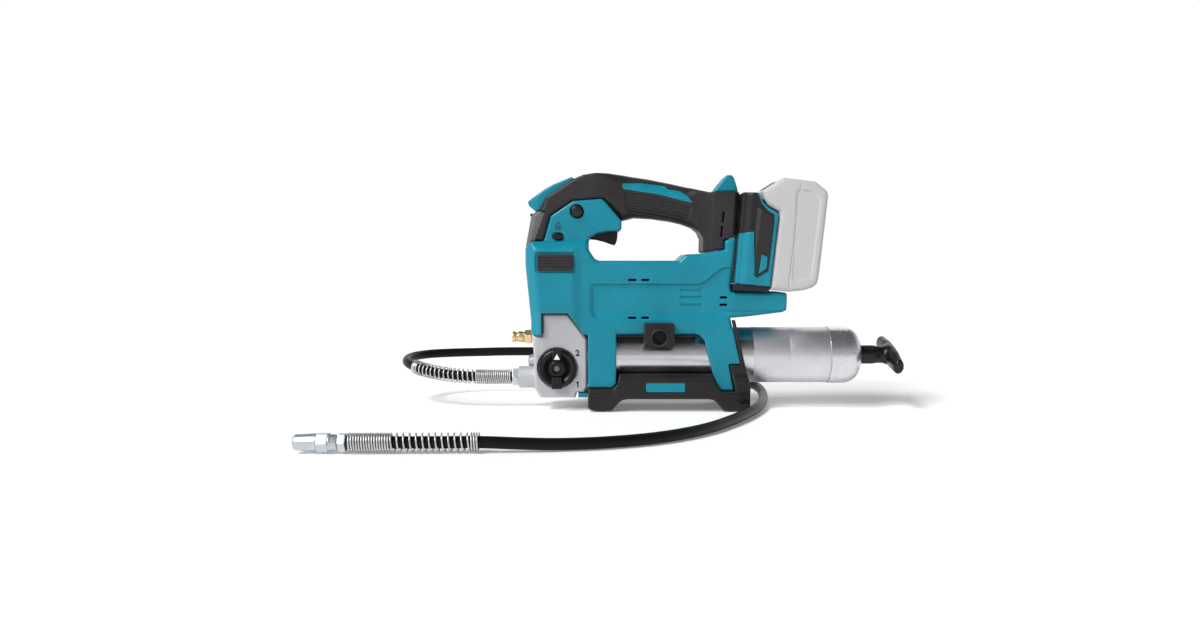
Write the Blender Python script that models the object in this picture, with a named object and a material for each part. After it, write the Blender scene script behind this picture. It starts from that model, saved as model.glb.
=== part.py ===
"""Cordless grease gun: an assembly of separate named sub-parts.

Frame: +X towards the barrel's pull handle, -X towards the hose outlet, +Z up, and
Z = 0 under the feet. Y = 0 is the parting plane of the two housing halves. The left
side is -Y. Sizes below are millimetres; finish() converts them to metres.
"""
import math

import bmesh
import bpy
from mathutils import Matrix, Vector

for leftover in list(bpy.data.objects):
    bpy.data.objects.remove(leftover, do_unlink=True)

MM = 0.001

# ---- clearances ----
GAP = 0.3             # between pieces that touch
RUNNING = 0.35        # radial, between faceted shafts and their bores
SEAM = 0.15           # half the gap on the parting plane

# ---- widths, measured from the middle plane ----
BODY_HALF = 37.0
HEAD_HALF = 24.0
GRIP_HALF = 18.0
BASE_HALF = BODY_HALF + 5
PUMP_HALF = BODY_HALF - 7
MOUNT_HALF = BODY_HALF + 1
BATTERY_HALF = BODY_HALF
WALL = 3.0            # moulded wall of the housing
GRIP_WALL = 3.5

# ---- barrel ----
BARREL_Z = 54.5
BARREL_R = 28.9
BARREL_WALL = 1.6
BARREL_END = 240.0
CAP_R = BARREL_R + 0.7
CAP_END = BARREL_END + 33.6
BARREL_CLEARANCE = 1.2
CHANNEL_R = BARREL_R + BARREL_CLEARANCE
ROD_R = 4.0
FOLLOWER_X = 14.0     # front face of the follower
HANDLE_X = CAP_END + 12.4     # end of the rod, inside the handle
BAR_TILT = math.radians(20)
STEM_R = 10.0
SPRING_WIRE_R = 1.1
SPRING_TURNS = 9

# ---- drive ----
MOTOR_Z = 115.0
MODULE = 0.9
SUN_TEETH = 12
PLANET_TEETH = 18
RING_TEETH = SUN_TEETH + 2 * PLANET_TEETH
PLANETS = 3
ORBIT = MODULE * (SUN_TEETH + PLANET_TEETH) / 2
ADDENDUM = 0.8 * MODULE
DEDENDUM = 1.15 * MODULE
PRESSURE_ANGLE = math.radians(20)
GEAR_LOW, GEAR_HIGH = 2.0, 12.0
PLANET_PIN_R = 2.5
CASE_R = 27.0         # gearbox case
SHAFT_R = 2.5
BEARING_R = 8.0
BEARING_LENGTH = 5.0
BEARING_X = 19.0
MOTOR_R = 24.0
MOTOR_WALL = 3.0
ROTOR_R = 18.0
MOTOR_START = 38.0
MOTOR_LENGTH = 58.0
MOTOR_END = MOTOR_START + MOTOR_LENGTH
REAR_BEARING_X = MOTOR_END + 12
CARRIER_X = -5.0
OUTPUT_R = 7.0        # output shaft, between carrier and crank
CRANK_FACE = -34.0
CRANK_THROW = 3.0
CRANK_PIN_R = 3.5
PLUNGER_X = -45.0
PLUNGER_R = 4.0
PLUNGER_FOOT = 66.0
YOKE_X = PLUNGER_X - 5.0
YOKE_BAR = 2.8
AXIS = (0.0, MOTOR_Z)

# ---- pump head ----
OUTLET_Z = 31.0
BLEEDER_Z = 73.0
DIAL_X, DIAL_Z = -43.5, 43.3
DIAL_R = 19.7
SPOOL_R = 5.0
BLEEDER_R = 1.6
BORE_R = 2.2          # grease passage
OUTLET_BORE_R = 4.2
BALL_X, BALL_R = -63.5, 3.2
NIPPLE_PLACE = (10.0, 46.9)   # Y and Z

# ---- battery and its rail ----
TILT = math.radians(6.4)   # the rail leans towards +X
RAIL_HALF = 29.0
RAIL_FOOT = (158.4, 128.0)
RAIL_DEPTH = 14.0
RAIL_LENGTH = 100.0
CELL_R = 9.0
CELLS_IN_ROW = 5
FIRST_CELL = (186.8, 138.5)
LATCH_HALF = 12.0
LATCH_TRAVEL = 3.0

# ---- controls, fixings and the coupler's parking socket ----
SCREW_PLACES = [(-64.5, 150.0), (121.0, 141.0)]
SCREW_R = 1.8
SCREW_HEAD_R = 3.4
SCREW_SEAT = 24.0     # under the head, from the middle plane
BOSS_R = 5.0
BUTTON_X, BUTTON_Z, BUTTON_R = -23.6, 202.5, 7.2
BOLT_X, BOLT_Z = -42.9, 177.1
BOLT_R, BOLT_REACH = 3.35, 1.65
TRIGGER_HALF = 7.0
TRIGGER_PIVOT = (-8.0, 0.0, 181.0)
HOLDER_X, HOLDER_Z, HOLDER_BORE = 59.3, 75.4, 7.4
HOLDER_DEPTH = 14.0

# ---- hose ----
HOSE_R = 5.0
GUARD_R = 8.05
COUPLER_Z = 8.3
HOSE_ROUTE = [
    (-91.8, 0, 31), (-110, 0, 31), (-130, 0.3, 31.2), (-148, 2, 32), (-166, 7, 33.6),
    (-182, 15, 35.6), (-196, 26.5, 37.8), (-208, 42, 40.4), (-214, 62, 43), (-210, 83, 45),
    (-196, 102, 46), (-172, 115, 46.3), (-140, 121.5, 46.6), (-100, 124, 47.2),
    (-50, 125, 46.5), (0, 126, 43), (45, 126, 37.5), (90, 124.5, 30.5), (130, 118, 23.5),
    (160, 100, 17.5), (175, 74, 12.5), (177.5, 45, 8.6), (173, 12, 6), (164.5, -25, 5.3),
    (152, -63, 5.3), (136, -101, 5.3), (118, -137, 5.3), (97, -173, 5.3), (71, -205, 5.3),
    (41, -230, 5.3), (6, -247, 5.3), (-31, -256, 5.4), (-62, -260, 6.6), (-92, -262.5, 8.1),
    (-125, -264, COUPLER_Z), (-165, -264.8, COUPLER_Z), (-199, -265, COUPLER_Z)]

# ---- outlines in the XZ plane ----
PUMP_OUTLINE = [(-59.1, 98.9), (-59.1, 76.2), (-68.4, 75.9), (-66.8, 22.4), (-61, 12.7),
                (-24.9, 12.7), (-23.3, 18.1), (-16.2, 18.1), (-12.6, 23.2), (-12.9, 72.1),
                (-32.7, 98.9)]
BODY_OUTLINE = [(-76, 164), (-76, 148), (-70.4, 90), (-70.4, 76.3), (100.7, 77.2),
                (110.4, 77.2), (136.0, 77.2), (132.4, 94.3), (150.9, 95.8), (185.7, 100.1),
                (190, 102), (190.5, 120), (133.6, 121), (132.8, 128), (137.5, 176.7),
                (126, 172.7), (126, 163.7), (102.1, 159.4), (86.3, 158.8), (79.6, 152.5),
                (-5.4, 152.5), (-11.8, 163.8), (-12.5, 172.0), (-60, 172.0), (-70, 171)]
FRONT_LEG = [(-12.3, 84), (-12.3, 23.4), (16.6, 23.4), (16.6, 84)]
REAR_LEG = [(98, 84), (98, 77.2), (100.7, 77.2), (106.5, 70.9), (119.2, 20.6), (136, 20.6),
            (142.3, 47.8), (134.4, 84)]
HEAD_OUTLINE = [(-59.5, 166), (-59.5, 173), (-50.6, 196), (-27.9, 213.4), (1.4, 215.4),
                (5.3, 212.4), (22, 193.1), (22, 184.4), (19, 182.4), (-3.6, 179.8),
                (-11.3, 177), (-12.3, 166)]
PANEL_OUTLINE = [(-76.2, 164.6), (-70.2, 171.4), (-60, 172.4), (-59.9, 173.2), (-51.2, 195.7),
                 (-61.7, 203)]
GRIP_OUTLINE = [(-61.3, 203.3), (-50.9, 196.3), (-28.1, 213.8), (1.6, 215.8), (5.6, 212.7),
                (22.4, 193.4), (35.2, 196.6), (71.1, 193.1), (95, 186.1), (104.9, 176.1),
                (103, 160.0), (125.7, 164), (125.7, 173), (137.6, 177.1), (142.2, 222),
                (111.4, 221.8), (75.2, 231.2), (23.4, 240.2), (-4.5, 241.8), (-27.5, 237.6),
                (-55.8, 220.2)]
FRONT_FIN = [(-74.2, 211.9), (-63.2, 203.6), (-61.8, 203.8), (-56.3, 220.4), (-27.8, 238.0)]
REAR_FIN = [(111.6, 222.2), (142.0, 222.4), (140.4, 236.2), (133.4, 240.2), (121.2, 228)]
BASE_OUTLINE = [(-12.2, 23.1), (-12.2, 2.5), (-4, 0), (10, 0), (18.8, 9.3), (28, 12.6),
                (110.5, 12.6), (124, 0), (148, 0), (151.8, 5), (152.7, 24.6), (140.6, 80),
                (136.2, 80), (143.0, 47.8), (136.4, 20.2), (118.8, 20.2), (114.3, 37.4),
                (19.6, 37.4), (17.0, 23.1)]
INSET_OUTLINE = [(48, 20), (85, 20), (87, 29.2), (46, 29.2)]
MOUNT_OUTLINE = [(143.8, 221.1), (136.0, 129.1), (171.7, 126.1), (179.8, 198.4),
                 (166.3, 208.1), (159.7, 220.6)]
BUMPER_OUTLINE = [(154.8, 182.1), (157.7, 136), (168.3, 141.6), (175.1, 194.6),
                  (158.2, 206.2)]
BATTERY_OUTLINE = [(171.9, 122.6), (191.4, 120.9), (215.5, 125.1), (220.9, 134.8),
                   (230, 217.8), (215.5, 232.2), (184.7, 236), (163.5, 222.6), (167, 209.0),
                   (180.5, 199.2)]
TRIGGER_OUTLINE = [(-11.0, 177.2), (-11.2, 174.6), (3.4, 172.6), (15.1, 168.3),
                   (18.1, 176.6), (18.4, 184.0), (-9, 184.6)]

BODY_CAVITY = [(-70, 168), (-72.5, 148), (-67, 96), (-67, 70), (131, 70), (129, 96),
               (129.5, 128), (133.5, 170), (129.2, 169), (129.2, 160.8), (103, 156.2),
               (87.4, 155.6), (81, 149.3), (-7.4, 149.3), (-15.4, 163), (-15.4, 169)]
HEAD_CAVITY = [(-55.5, 160), (-55.5, 173), (-47.6, 194.4), (-26.9, 210.2), (0.3, 212.2),
               (3.2, 210), (18.6, 192), (18.6, 187), (-4, 183.5), (-14.8, 180), (-15.4, 160)]
GRIP_CAVITY = [(-20, 218.5), (3.2, 220.2), (9.4, 215.6), (24.6, 198.0), (35.2, 200.6),
               (72.3, 197), (97.3, 189.5), (109, 177.6), (107.2, 155), (122, 155),
               (122, 176), (134.4, 180.3), (138, 217.6), (110.9, 217.6), (74, 227.2),
               (22.8, 236.2), (-4, 237.8), (-20, 234)]
BATTERY_CAVITY = [(184.0, 206), (188.5, 227), (213.8, 229), (226.8, 217), (217.8, 136),
                  (213.6, 128), (191.6, 124.2), (175.3, 126)]

# Slots in the housing's sides, as (low X, high X, Z).
VENTS = ([(81.4, 103.6, z) for z in (122.6, 115.2, 107.5)]
         + [(x, x + 8.2, z) for z in (132.9, 94.6) for x in (28.8, 41.9)]
         + [(121.4, 129.0, z) for z in (115.2, 107.7)])
VENT_HALF = 1.0


# ======== materials ========

def material(name, colour, roughness, metallic=0.0):
    """A Principled material with one colour."""
    made = bpy.data.materials.new(name)
    made.use_nodes = True
    shader = made.node_tree.nodes["Principled BSDF"]
    shader.inputs["Base Color"].default_value = (*colour, 1.0)
    shader.inputs["Roughness"].default_value = roughness
    shader.inputs["Metallic"].default_value = metallic
    return made


LOOKS = {
    "teal": ((0.012, 0.25, 0.34), 0.42, 0.0),
    "black": ((0.035, 0.032, 0.034), 0.6, 0.0),
    "rubber": ((0.02, 0.02, 0.02), 0.75, 0.0),
    "cast": ((0.6, 0.6, 0.62), 0.4, 1.0),
    "steel": ((0.62, 0.62, 0.64), 0.28, 1.0),
    "brass": ((0.75, 0.52, 0.25), 0.3, 1.0),
    "copper": ((0.6, 0.3, 0.15), 0.4, 1.0),
    "board": ((0.02, 0.2, 0.08), 0.5, 0.0),
    "clear": ((0.8, 0.8, 0.8), 0.2, 0.0),
    "pale": ((0.55, 0.55, 0.55), 0.45, 0.0),
}


# ======== mesh helpers, all in millimetres ========

def finish(name, bm, look, origin=(0, 0, 0)):
    """Make an object from a closed bmesh, with its origin at a point in millimetres."""
    bmesh.ops.translate(bm, verts=bm.verts, vec=-Vector(origin))
    bmesh.ops.scale(bm, verts=bm.verts, vec=(MM, MM, MM))
    bmesh.ops.recalc_face_normals(bm, faces=bm.faces)
    mesh = bpy.data.meshes.new(name)
    bm.to_mesh(mesh)
    bm.free()
    made = bpy.data.objects.new(name, mesh)
    made.location = Vector(origin) * MM
    made.data.materials.append(material(name, *LOOKS[look]))
    bpy.context.scene.collection.objects.link(made)
    return made


def prism_mesh(outline, low, high, chamfer=0.0, plane="XZ"):
    """An outline swept along the axis across its plane, with its end edges chamfered."""
    bm = bmesh.new()
    place = {"XZ": lambda a, b, c: (a, c, b), "YZ": lambda a, b, c: (c, a, b),
             "XY": lambda a, b, c: (a, b, c)}[plane]
    first = [bm.verts.new(place(a, b, low)) for a, b in outline]
    second = [bm.verts.new(place(a, b, high)) for a, b in outline]
    caps = [bm.faces.new(first), bm.faces.new(second)]
    for i in range(len(outline)):
        j = (i + 1) % len(outline)
        bm.faces.new((first[i], first[j], second[j], second[i]))
    bmesh.ops.recalc_face_normals(bm, faces=bm.faces)
    if chamfer:
        rims = list({edge for cap in caps for edge in cap.edges})
        bmesh.ops.bevel(bm, geom=rims, offset=chamfer, segments=1, affect="EDGES",
                        clamp_overlap=True)
    return bm


def box_mesh(low, high):
    """An axis-aligned block between two corners."""
    rectangle = [(low[0], low[2]), (high[0], low[2]), (high[0], high[2]), (low[0], high[2])]
    return prism_mesh(rectangle, low[1], high[1])


def turned_mesh(profile, axis, centre, sides=24, phase=0.0):
    """A profile of (place along the axis, radius) turned about an axis.

    The profile is a closed loop, or runs from radius 0 to radius 0.
    """
    bm = bmesh.new()
    other = {"X": (1, 2), "Y": (2, 0), "Z": (0, 1)}[axis]
    along = "XYZ".index(axis)
    rings = []
    for place, radius in profile:
        ring = []
        for k in range(sides if radius > 0 else 1):
            turn = phase + 2 * math.pi * k / sides
            point = [0.0, 0.0, 0.0]
            point[along] = place
            point[other[0]] = centre[0] + radius * math.cos(turn)
            point[other[1]] = centre[1] + radius * math.sin(turn)
            ring.append(bm.verts.new(point))
        rings.append(ring)
    open_profile = profile[0][1] == 0
    for index in range(len(rings) - 1 if open_profile else len(rings)):
        lower, upper = rings[index], rings[(index + 1) % len(rings)]
        for k in range(sides):
            n = (k + 1) % sides
            corners = [lower[k % len(lower)], lower[n % len(lower)],
                       upper[n % len(upper)], upper[k % len(upper)]]
            unique = list(dict.fromkeys(corners))
            if len(unique) > 2:
                bm.faces.new(unique)
    bmesh.ops.recalc_face_normals(bm, faces=bm.faces)
    return bm


def rod_mesh(axis, centre, radius, low, high, sides=24, phase=0.0):
    """A plain round bar; six sides make a hexagon."""
    return turned_mesh([(low, 0), (low, radius), (high, radius), (high, 0)],
                       axis, centre, sides, phase)


def ring_mesh(axis, centre, inner, outer, low, high, sides=24):
    """A plain tube."""
    return turned_mesh([(low, inner), (low, outer), (high, outer), (high, inner)],
                       axis, centre, sides)


def tube_mesh(path, inner, outer, sides=12):
    """A tube along a list of points; an inner radius of 0 makes a solid bar."""
    bm = bmesh.new()
    radii = [outer, inner] if inner else [outer]
    side = Vector((0, 0, 1))
    loops = []
    for index, point in enumerate(path):
        tangent = (path[min(index + 1, len(path) - 1)] - path[max(index - 1, 0)]).normalized()
        side = (side - tangent * side.dot(tangent)).normalized()
        across = tangent.cross(side)
        loops.append([[bm.verts.new(point + radius * (
            side * math.cos(2 * math.pi * k / sides) + across * math.sin(2 * math.pi * k / sides)))
            for k in range(sides)] for radius in radii])
    for low, high in zip(loops, loops[1:]):
        for a, b in zip(low, high):
            for k in range(sides):
                n = (k + 1) % sides
                bm.faces.new((a[k], a[n], b[n], b[k]))
    for end in (loops[0], loops[-1]):
        if inner:
            for k in range(sides):
                n = (k + 1) % sides
                bm.faces.new((end[0][k], end[0][n], end[1][n], end[1][k]))
        else:
            bm.faces.new(end[0])
    bmesh.ops.recalc_face_normals(bm, faces=bm.faces)
    return bm


def combine(made, bm, operation):
    """Cut a piece with a closed mesh, or weld the mesh on to it, with an exact Boolean."""
    tool = finish("tool", bm, "pale")
    change = made.modifiers.new("change", "BOOLEAN")
    change.operation = operation
    change.solver = "EXACT"
    change.object = tool
    bpy.context.view_layer.update()
    result = bpy.data.meshes.new_from_object(
        made.evaluated_get(bpy.context.evaluated_depsgraph_get()))
    made.modifiers.remove(change)
    made.data = result
    while len(result.materials) > 1:
        result.materials.pop()
    bpy.data.objects.remove(tool, do_unlink=True)


def cut(made, *meshes):
    for bm in meshes:
        combine(made, bm, "DIFFERENCE")


def weld(made, *meshes):
    for bm in meshes:
        combine(made, bm, "UNION")


def grown(outline, distance):
    """An outline with every side moved out by a distance; a negative one moves it in."""
    area = sum(a[0] * b[1] - b[0] * a[1] for a, b in zip(outline, outline[1:] + outline[:1]))
    turn = 1 if area > 0 else -1
    result = []
    for index, (x, z) in enumerate(outline):
        before, after = outline[index - 1], outline[(index + 1) % len(outline)]
        first = Vector((x - before[0], z - before[1])).normalized()
        second = Vector((after[0] - x, after[1] - z)).normalized()
        out_a = Vector((first.y, -first.x)) * turn
        out_b = Vector((second.y, -second.x)) * turn
        miter = out_a + out_b
        miter /= max(miter.dot(out_a), 0.3)
        result.append((x + miter.x * distance, z + miter.y * distance))
    return result


def shifted(outline, along, across):
    """An outline moved along the battery rail and away from it."""
    step_x = along * math.sin(TILT) + across * math.cos(TILT)
    step_z = along * math.cos(TILT) - across * math.sin(TILT)
    return [(x + step_x, z + step_z) for x, z in outline]


def both_sides(half):
    """The two Y spans, left then right, of a half piece beside the parting plane."""
    return {"left": (-half, -SEAM), "right": (SEAM, half)}


# ======== gears ========

def involute(angle):
    return math.tan(angle) - angle


def tooth_half_angle(radius, teeth, backlash, internal=False):
    """Half the angle that an involute tooth, or a ring's tooth gap, fills at a radius."""
    pitch_radius = MODULE * teeth / 2
    base_radius = pitch_radius * math.cos(PRESSURE_ANGLE)
    lean = involute(math.acos(min(1.0, base_radius / radius)))
    half = math.pi / (2 * teeth) + (backlash if internal else -backlash) / (2 * pitch_radius)
    return half + involute(PRESSURE_ANGLE) - lean


def gear_outline(teeth, centre, turn, root, tip, backlash=0.25, internal=False):
    """Points of a spur gear's outline in the YZ plane, a tooth centred at angle turn."""
    pitch_radius = MODULE * teeth / 2
    base_radius = pitch_radius * math.cos(PRESSURE_ANGLE)
    radii = [root, base_radius, pitch_radius, tip]
    if base_radius <= root:
        radii.remove(base_radius)
    points = []
    for tooth in range(teeth):
        middle = turn + 2 * math.pi * tooth / teeth
        flank = [(r, tooth_half_angle(r, teeth, backlash, internal)) for r in radii]
        for r, half in [(r, -h) for r, h in flank] + [(r, h) for r, h in reversed(flank)]:
            points.append((centre[0] + r * math.cos(middle + half),
                           centre[1] + r * math.sin(middle + half)))
    return points


def planet_places():
    """Each planet's (orbit angle, turn), in mesh with a sun that has a tooth at angle 0."""
    places = []
    for k in range(PLANETS):
        orbit = 2 * math.pi * k / PLANETS
        sun_offset = (-orbit * SUN_TEETH / (2 * math.pi)) % 1
        turn = orbit + math.pi + (0.5 - sun_offset) * 2 * math.pi / PLANET_TEETH
        places.append((orbit, turn))
    return places


def ring_turn():
    """The ring's tooth-gap angle that faces the first planet's teeth."""
    orbit, turn = planet_places()[0]
    offset = ((turn - orbit) * PLANET_TEETH / (2 * math.pi)) % 1
    return orbit + offset * 2 * math.pi / RING_TEETH


# ======== the moulded housing ========

def housing(side):
    """One half of the clamshell: body, head and the two legs beside the barrel."""
    sign = -1 if side == "left" else 1
    outside = BODY_HALF + 10

    def span(inner, outer):
        """A low and high Y from distances measured outwards on this side."""
        return sorted((sign * inner, sign * outer))

    body = finish("housing_" + side, prism_mesh(BODY_OUTLINE, *span(SEAM, BODY_HALF), 3.0),
                  "teal")
    weld(body, prism_mesh(HEAD_OUTLINE, *span(SEAM, HEAD_HALF), 2.0))
    for leg in (FRONT_LEG, REAR_LEG):
        weld(body, prism_mesh(leg, *span(CHANNEL_R + 0.6, BODY_HALF - 0.02)))
    cut(body, prism_mesh(BODY_CAVITY, *span(-1.0, BODY_HALF - WALL)),
        prism_mesh(HEAD_CAVITY, *span(-1.1, HEAD_HALF - WALL)))
    for x, z in SCREW_PLACES:
        weld(body, rod_mesh("Y", (z, x), BOSS_R, *span(SEAM, BODY_HALF - WALL + 1), 12))
    cut(body, prism_mesh(grown(PUMP_OUTLINE, GAP), *span(-1.2, outside)),
        rod_mesh("X", (0, BARREL_Z), CHANNEL_R, -12.3, BARREL_END, 40))
    trigger_slot = [(-12, 165), (20, 165), (20, 191), (-12, 191)]
    cut(body, prism_mesh(trigger_slot, *span(-1.3, TRIGGER_HALF + 0.5)),
        prism_mesh(bolt_outline(GAP), *span(-1.4, HEAD_HALF + 5)))
    inner, outer = span(BODY_HALF - 2 * WALL - 1, outside)
    for x0, x1, z in VENTS:
        cut(body, box_mesh((x0, inner, z - VENT_HALF), (x1, outer, z + VENT_HALF)))
    hole = [(-1.5, 0), (-1.5, SCREW_R + GAP), (SCREW_SEAT, SCREW_R + GAP),
            (SCREW_SEAT, SCREW_HEAD_R + GAP), (outside, SCREW_HEAD_R + GAP), (outside, 0)]
    if side == "left":
        cut(body, rod_mesh("Y", (BUTTON_Z, BUTTON_X), BUTTON_R + GAP, -HEAD_HALF - 6,
                           -HEAD_HALF + 9, 24))
        hole = [(-16, 0), (-16, SCREW_R + GAP), (1.5, SCREW_R + GAP), (1.5, 0)]
    for x, z in SCREW_PLACES:
        cut(body, turned_mesh(hole, "Y", (z, x), 12))


def bolt_outline(margin=0.0):
    """The lock-off bolt's section: a pill lying along X."""
    points = []
    for k in range(16):
        turn = 2 * math.pi * (k + 0.5) / 16
        points.append((BOLT_X + math.copysign(BOLT_REACH, math.cos(turn))
                       + (BOLT_R + margin) * math.cos(turn),
                       BOLT_Z + (BOLT_R + margin) * math.sin(turn)))
    return points


def housing_screws():
    for number, (x, z) in enumerate(SCREW_PLACES, 1):
        seat = SCREW_SEAT + GAP
        profile = [(-14, 0), (-14, SCREW_R), (seat, SCREW_R), (seat, SCREW_HEAD_R),
                   (seat + 2.7, SCREW_HEAD_R), (seat + 2.7, 0)]
        finish("housing_screw_%d" % number, turned_mesh(profile, "Y", (z, x), 12), "steel")


def grip_covers():
    for side, (low, high) in both_sides(GRIP_HALF).items():
        sign = -1 if side == "left" else 1
        grip = finish("grip_" + side, prism_mesh(GRIP_OUTLINE, low, high, 4.0), "rubber")
        cut(grip, prism_mesh(GRIP_CAVITY, *sorted((-sign * 1.1, sign * (GRIP_HALF - GRIP_WALL)))))


def front_panel():
    """The black nose panel with its work lamp."""
    panel = finish("front_panel", prism_mesh(PANEL_OUTLINE, -HEAD_HALF, HEAD_HALF, 2.0), "black")
    cut(panel, box_mesh((-80, -9.3, 182), (-62.5, 9.3, 197)))
    lens = [(-62.9, 196.6), (-66.9, 196.6), (-72.6, 182.4), (-62.9, 182.4)]
    finish("lamp_lens", prism_mesh(lens, -9.0, 9.0), "clear")


def strap_loops():
    fin = finish("front_strap_loop", prism_mesh(FRONT_FIN, -16, 16, 2.0), "teal")
    tip, heel = FRONT_FIN[0], FRONT_FIN[-1]
    slope = math.atan2(heel[1] - tip[1], heel[0] - tip[0])
    slot = box_mesh((-3, -9, -30), (3, 9, 30))
    bmesh.ops.rotate(slot, verts=slot.verts, cent=(0, 0, 0),
                     matrix=Matrix.Rotation(-slope - math.radians(8), 3, "Y"))
    bmesh.ops.translate(slot, verts=slot.verts, vec=(-62.6, 0, 213.0))
    cut(fin, slot)
    rear = finish("rear_strap_loop", prism_mesh(REAR_FIN, -16, 16, 2.0), "teal")
    cut(rear, box_mesh((105, -9, 225.5), (150, 9, 231.5)))


def side_pads():
    pad = [(-62.8, 142.5), (-27.5, 142.5), (-27.5, 158.3), (-62.8, 158.3)]
    for side, sign in (("left", -1), ("right", 1)):
        finish("side_pad_" + side,
               prism_mesh(pad, *sorted((sign * (BODY_HALF + GAP), sign * (BODY_HALF + 2.2))),
                          0.6), "rubber")


def base():
    """The cradle under the barrel with its two feet."""
    frame = finish("base_frame", prism_mesh(BASE_OUTLINE, -BASE_HALF, BASE_HALF, 2.5), "black")
    cut(frame, rod_mesh("X", (0, BARREL_Z), CHANNEL_R, -40, 200, 40),
        box_mesh((-40, -CHANNEL_R, BARREL_Z), (200, CHANNEL_R, 120)))
    recess = 1.2
    for side, sign in (("left", -1), ("right", 1)):
        cut(frame, prism_mesh(grown(INSET_OUTLINE, GAP),
                              *sorted((sign * (BASE_HALF - recess - GAP), sign * 60))))
        finish("base_inset_" + side,
               prism_mesh(INSET_OUTLINE, *sorted((sign * (BASE_HALF - recess),
                                                  sign * (BASE_HALF + 0.2)))), "teal")


def coupler_holder():
    """The socket on the left side that parks the hose's coupler."""
    block = [(43.9, 66), (46, 64.7), (72.6, 64.7), (74.7, 66), (74.7, 86), (71, 89.6),
             (47.6, 89.6), (43.9, 86)]
    holder = finish("coupler_holder",
                    prism_mesh(block, -BODY_HALF - HOLDER_DEPTH, -BODY_HALF - GAP, 1.5),
                    "black")
    cut(holder, rod_mesh("Y", (HOLDER_Z, HOLDER_X), HOLDER_BORE, -70, -BODY_HALF - 2.5, 24))


# ======== the battery ========

def battery_mount():
    mount = finish("battery_mount",
                   prism_mesh(MOUNT_OUTLINE, -MOUNT_HALF, MOUNT_HALF, 2.0), "black")
    cut(mount, prism_mesh(rail_outline(GAP), -RAIL_HALF - GAP, RAIL_HALF + GAP))
    for side, sign in (("left", -1), ("right", 1)):
        finish("mount_bumper_" + side,
               prism_mesh(BUMPER_OUTLINE, *sorted((sign * (MOUNT_HALF + GAP),
                                                   sign * (MOUNT_HALF + 2.5))), 0.8), "rubber")
    x, z = RAIL_FOOT
    terminals = finish("terminal_block", box_mesh((x + 2.0, -16, z + 1.5), (x + 9.6, 16, z + 6.5)),
                       "copper")
    for y in (-12, 0, 12):
        weld(terminals, box_mesh((x + 5.2, y - 2, z + 5), (x + 6.6, y + 2, z + 15)))


def rail_outline(margin):
    """The rail tongue's section, open at its top so that the battery slides off."""
    deep = RAIL_DEPTH + 20 * margin
    return rail_points([(-margin, -20), (deep, -20), (deep, RAIL_LENGTH), (-margin, RAIL_LENGTH)])


def rail_points(corners, foot=RAIL_FOOT):
    """World places of corners given as (away from the rail, along the rail)."""
    return [shifted([foot], along, across)[0] for across, along in corners]


def battery():
    """The battery: a hollow case with a rail tongue, its cells and its latch."""
    case = finish("battery_case",
                  prism_mesh(BATTERY_OUTLINE, -BATTERY_HALF, BATTERY_HALF, 4.0), "pale")
    cut(case, prism_mesh(BATTERY_CAVITY, -BATTERY_HALF + WALL, BATTERY_HALF - WALL))
    cut(case, box_mesh((165, -20, 150), (190, 20, 170)))
    depth = RAIL_DEPTH - GAP
    tongue = rail_points([(GAP, 8), (depth, 8), (depth, 72), (GAP, 72)])
    rail = finish("battery_rail", prism_mesh(tongue, -RAIL_HALF, RAIL_HALF, 1.0), "black")
    cut(rail, box_mesh((150, -17, 120), (170, 17, 147)))
    cells()
    latch_parts(case)


def cells():
    """Ten round cells in two rows, joined by their holders."""
    half = BATTERY_HALF - 4.5
    pitch = 2 * CELL_R + 0.2
    holder = rail_points([(-3, -3), (pitch + 3, -3), (pitch + 3, 4 * pitch + 3),
                          (-3, 4 * pitch + 3)], FIRST_CELL)
    pack = finish("cell_pack", prism_mesh(holder, 2.5 - half, half - 2.5), "steel")
    for row in range(2):
        for index in range(CELLS_IN_ROW):
            x, z = shifted([FIRST_CELL], index * pitch, row * pitch)[0]
            weld(pack, rod_mesh("Y", (z, x), CELL_R, -half, half, 12))


def latch_point(along, out):
    """A point beside the sloping top edge of the battery, where the latch button sits."""
    foot, peak = Vector(BATTERY_OUTLINE[7]), Vector(BATTERY_OUTLINE[6])
    direction = (peak - foot).normalized()
    return (foot.x + direction.x * along - direction.y * out,
            foot.y + direction.y * along + direction.x * out)


def latch_parts(case):
    """The latch button and the well that it is pressed into."""
    low, high, depth = 6.0, 19.0, 7.0
    well = [latch_point(low - GAP, 10), latch_point(low - GAP, -depth - LATCH_TRAVEL - GAP),
            latch_point(high + GAP, -depth - LATCH_TRAVEL - GAP), latch_point(high + GAP, 10)]
    cut(case, prism_mesh(well, -LATCH_HALF - GAP, LATCH_HALF + GAP))
    button = [latch_point(low, 0.8), latch_point(low, -depth), latch_point(high, -depth),
              latch_point(high, 0.8)]
    middle = latch_point((low + high) / 2, 0)
    finish("battery_latch", prism_mesh(button, -LATCH_HALF, LATCH_HALF), "black",
           (middle[0], 0, middle[1]))


# ======== the drive ========

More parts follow.
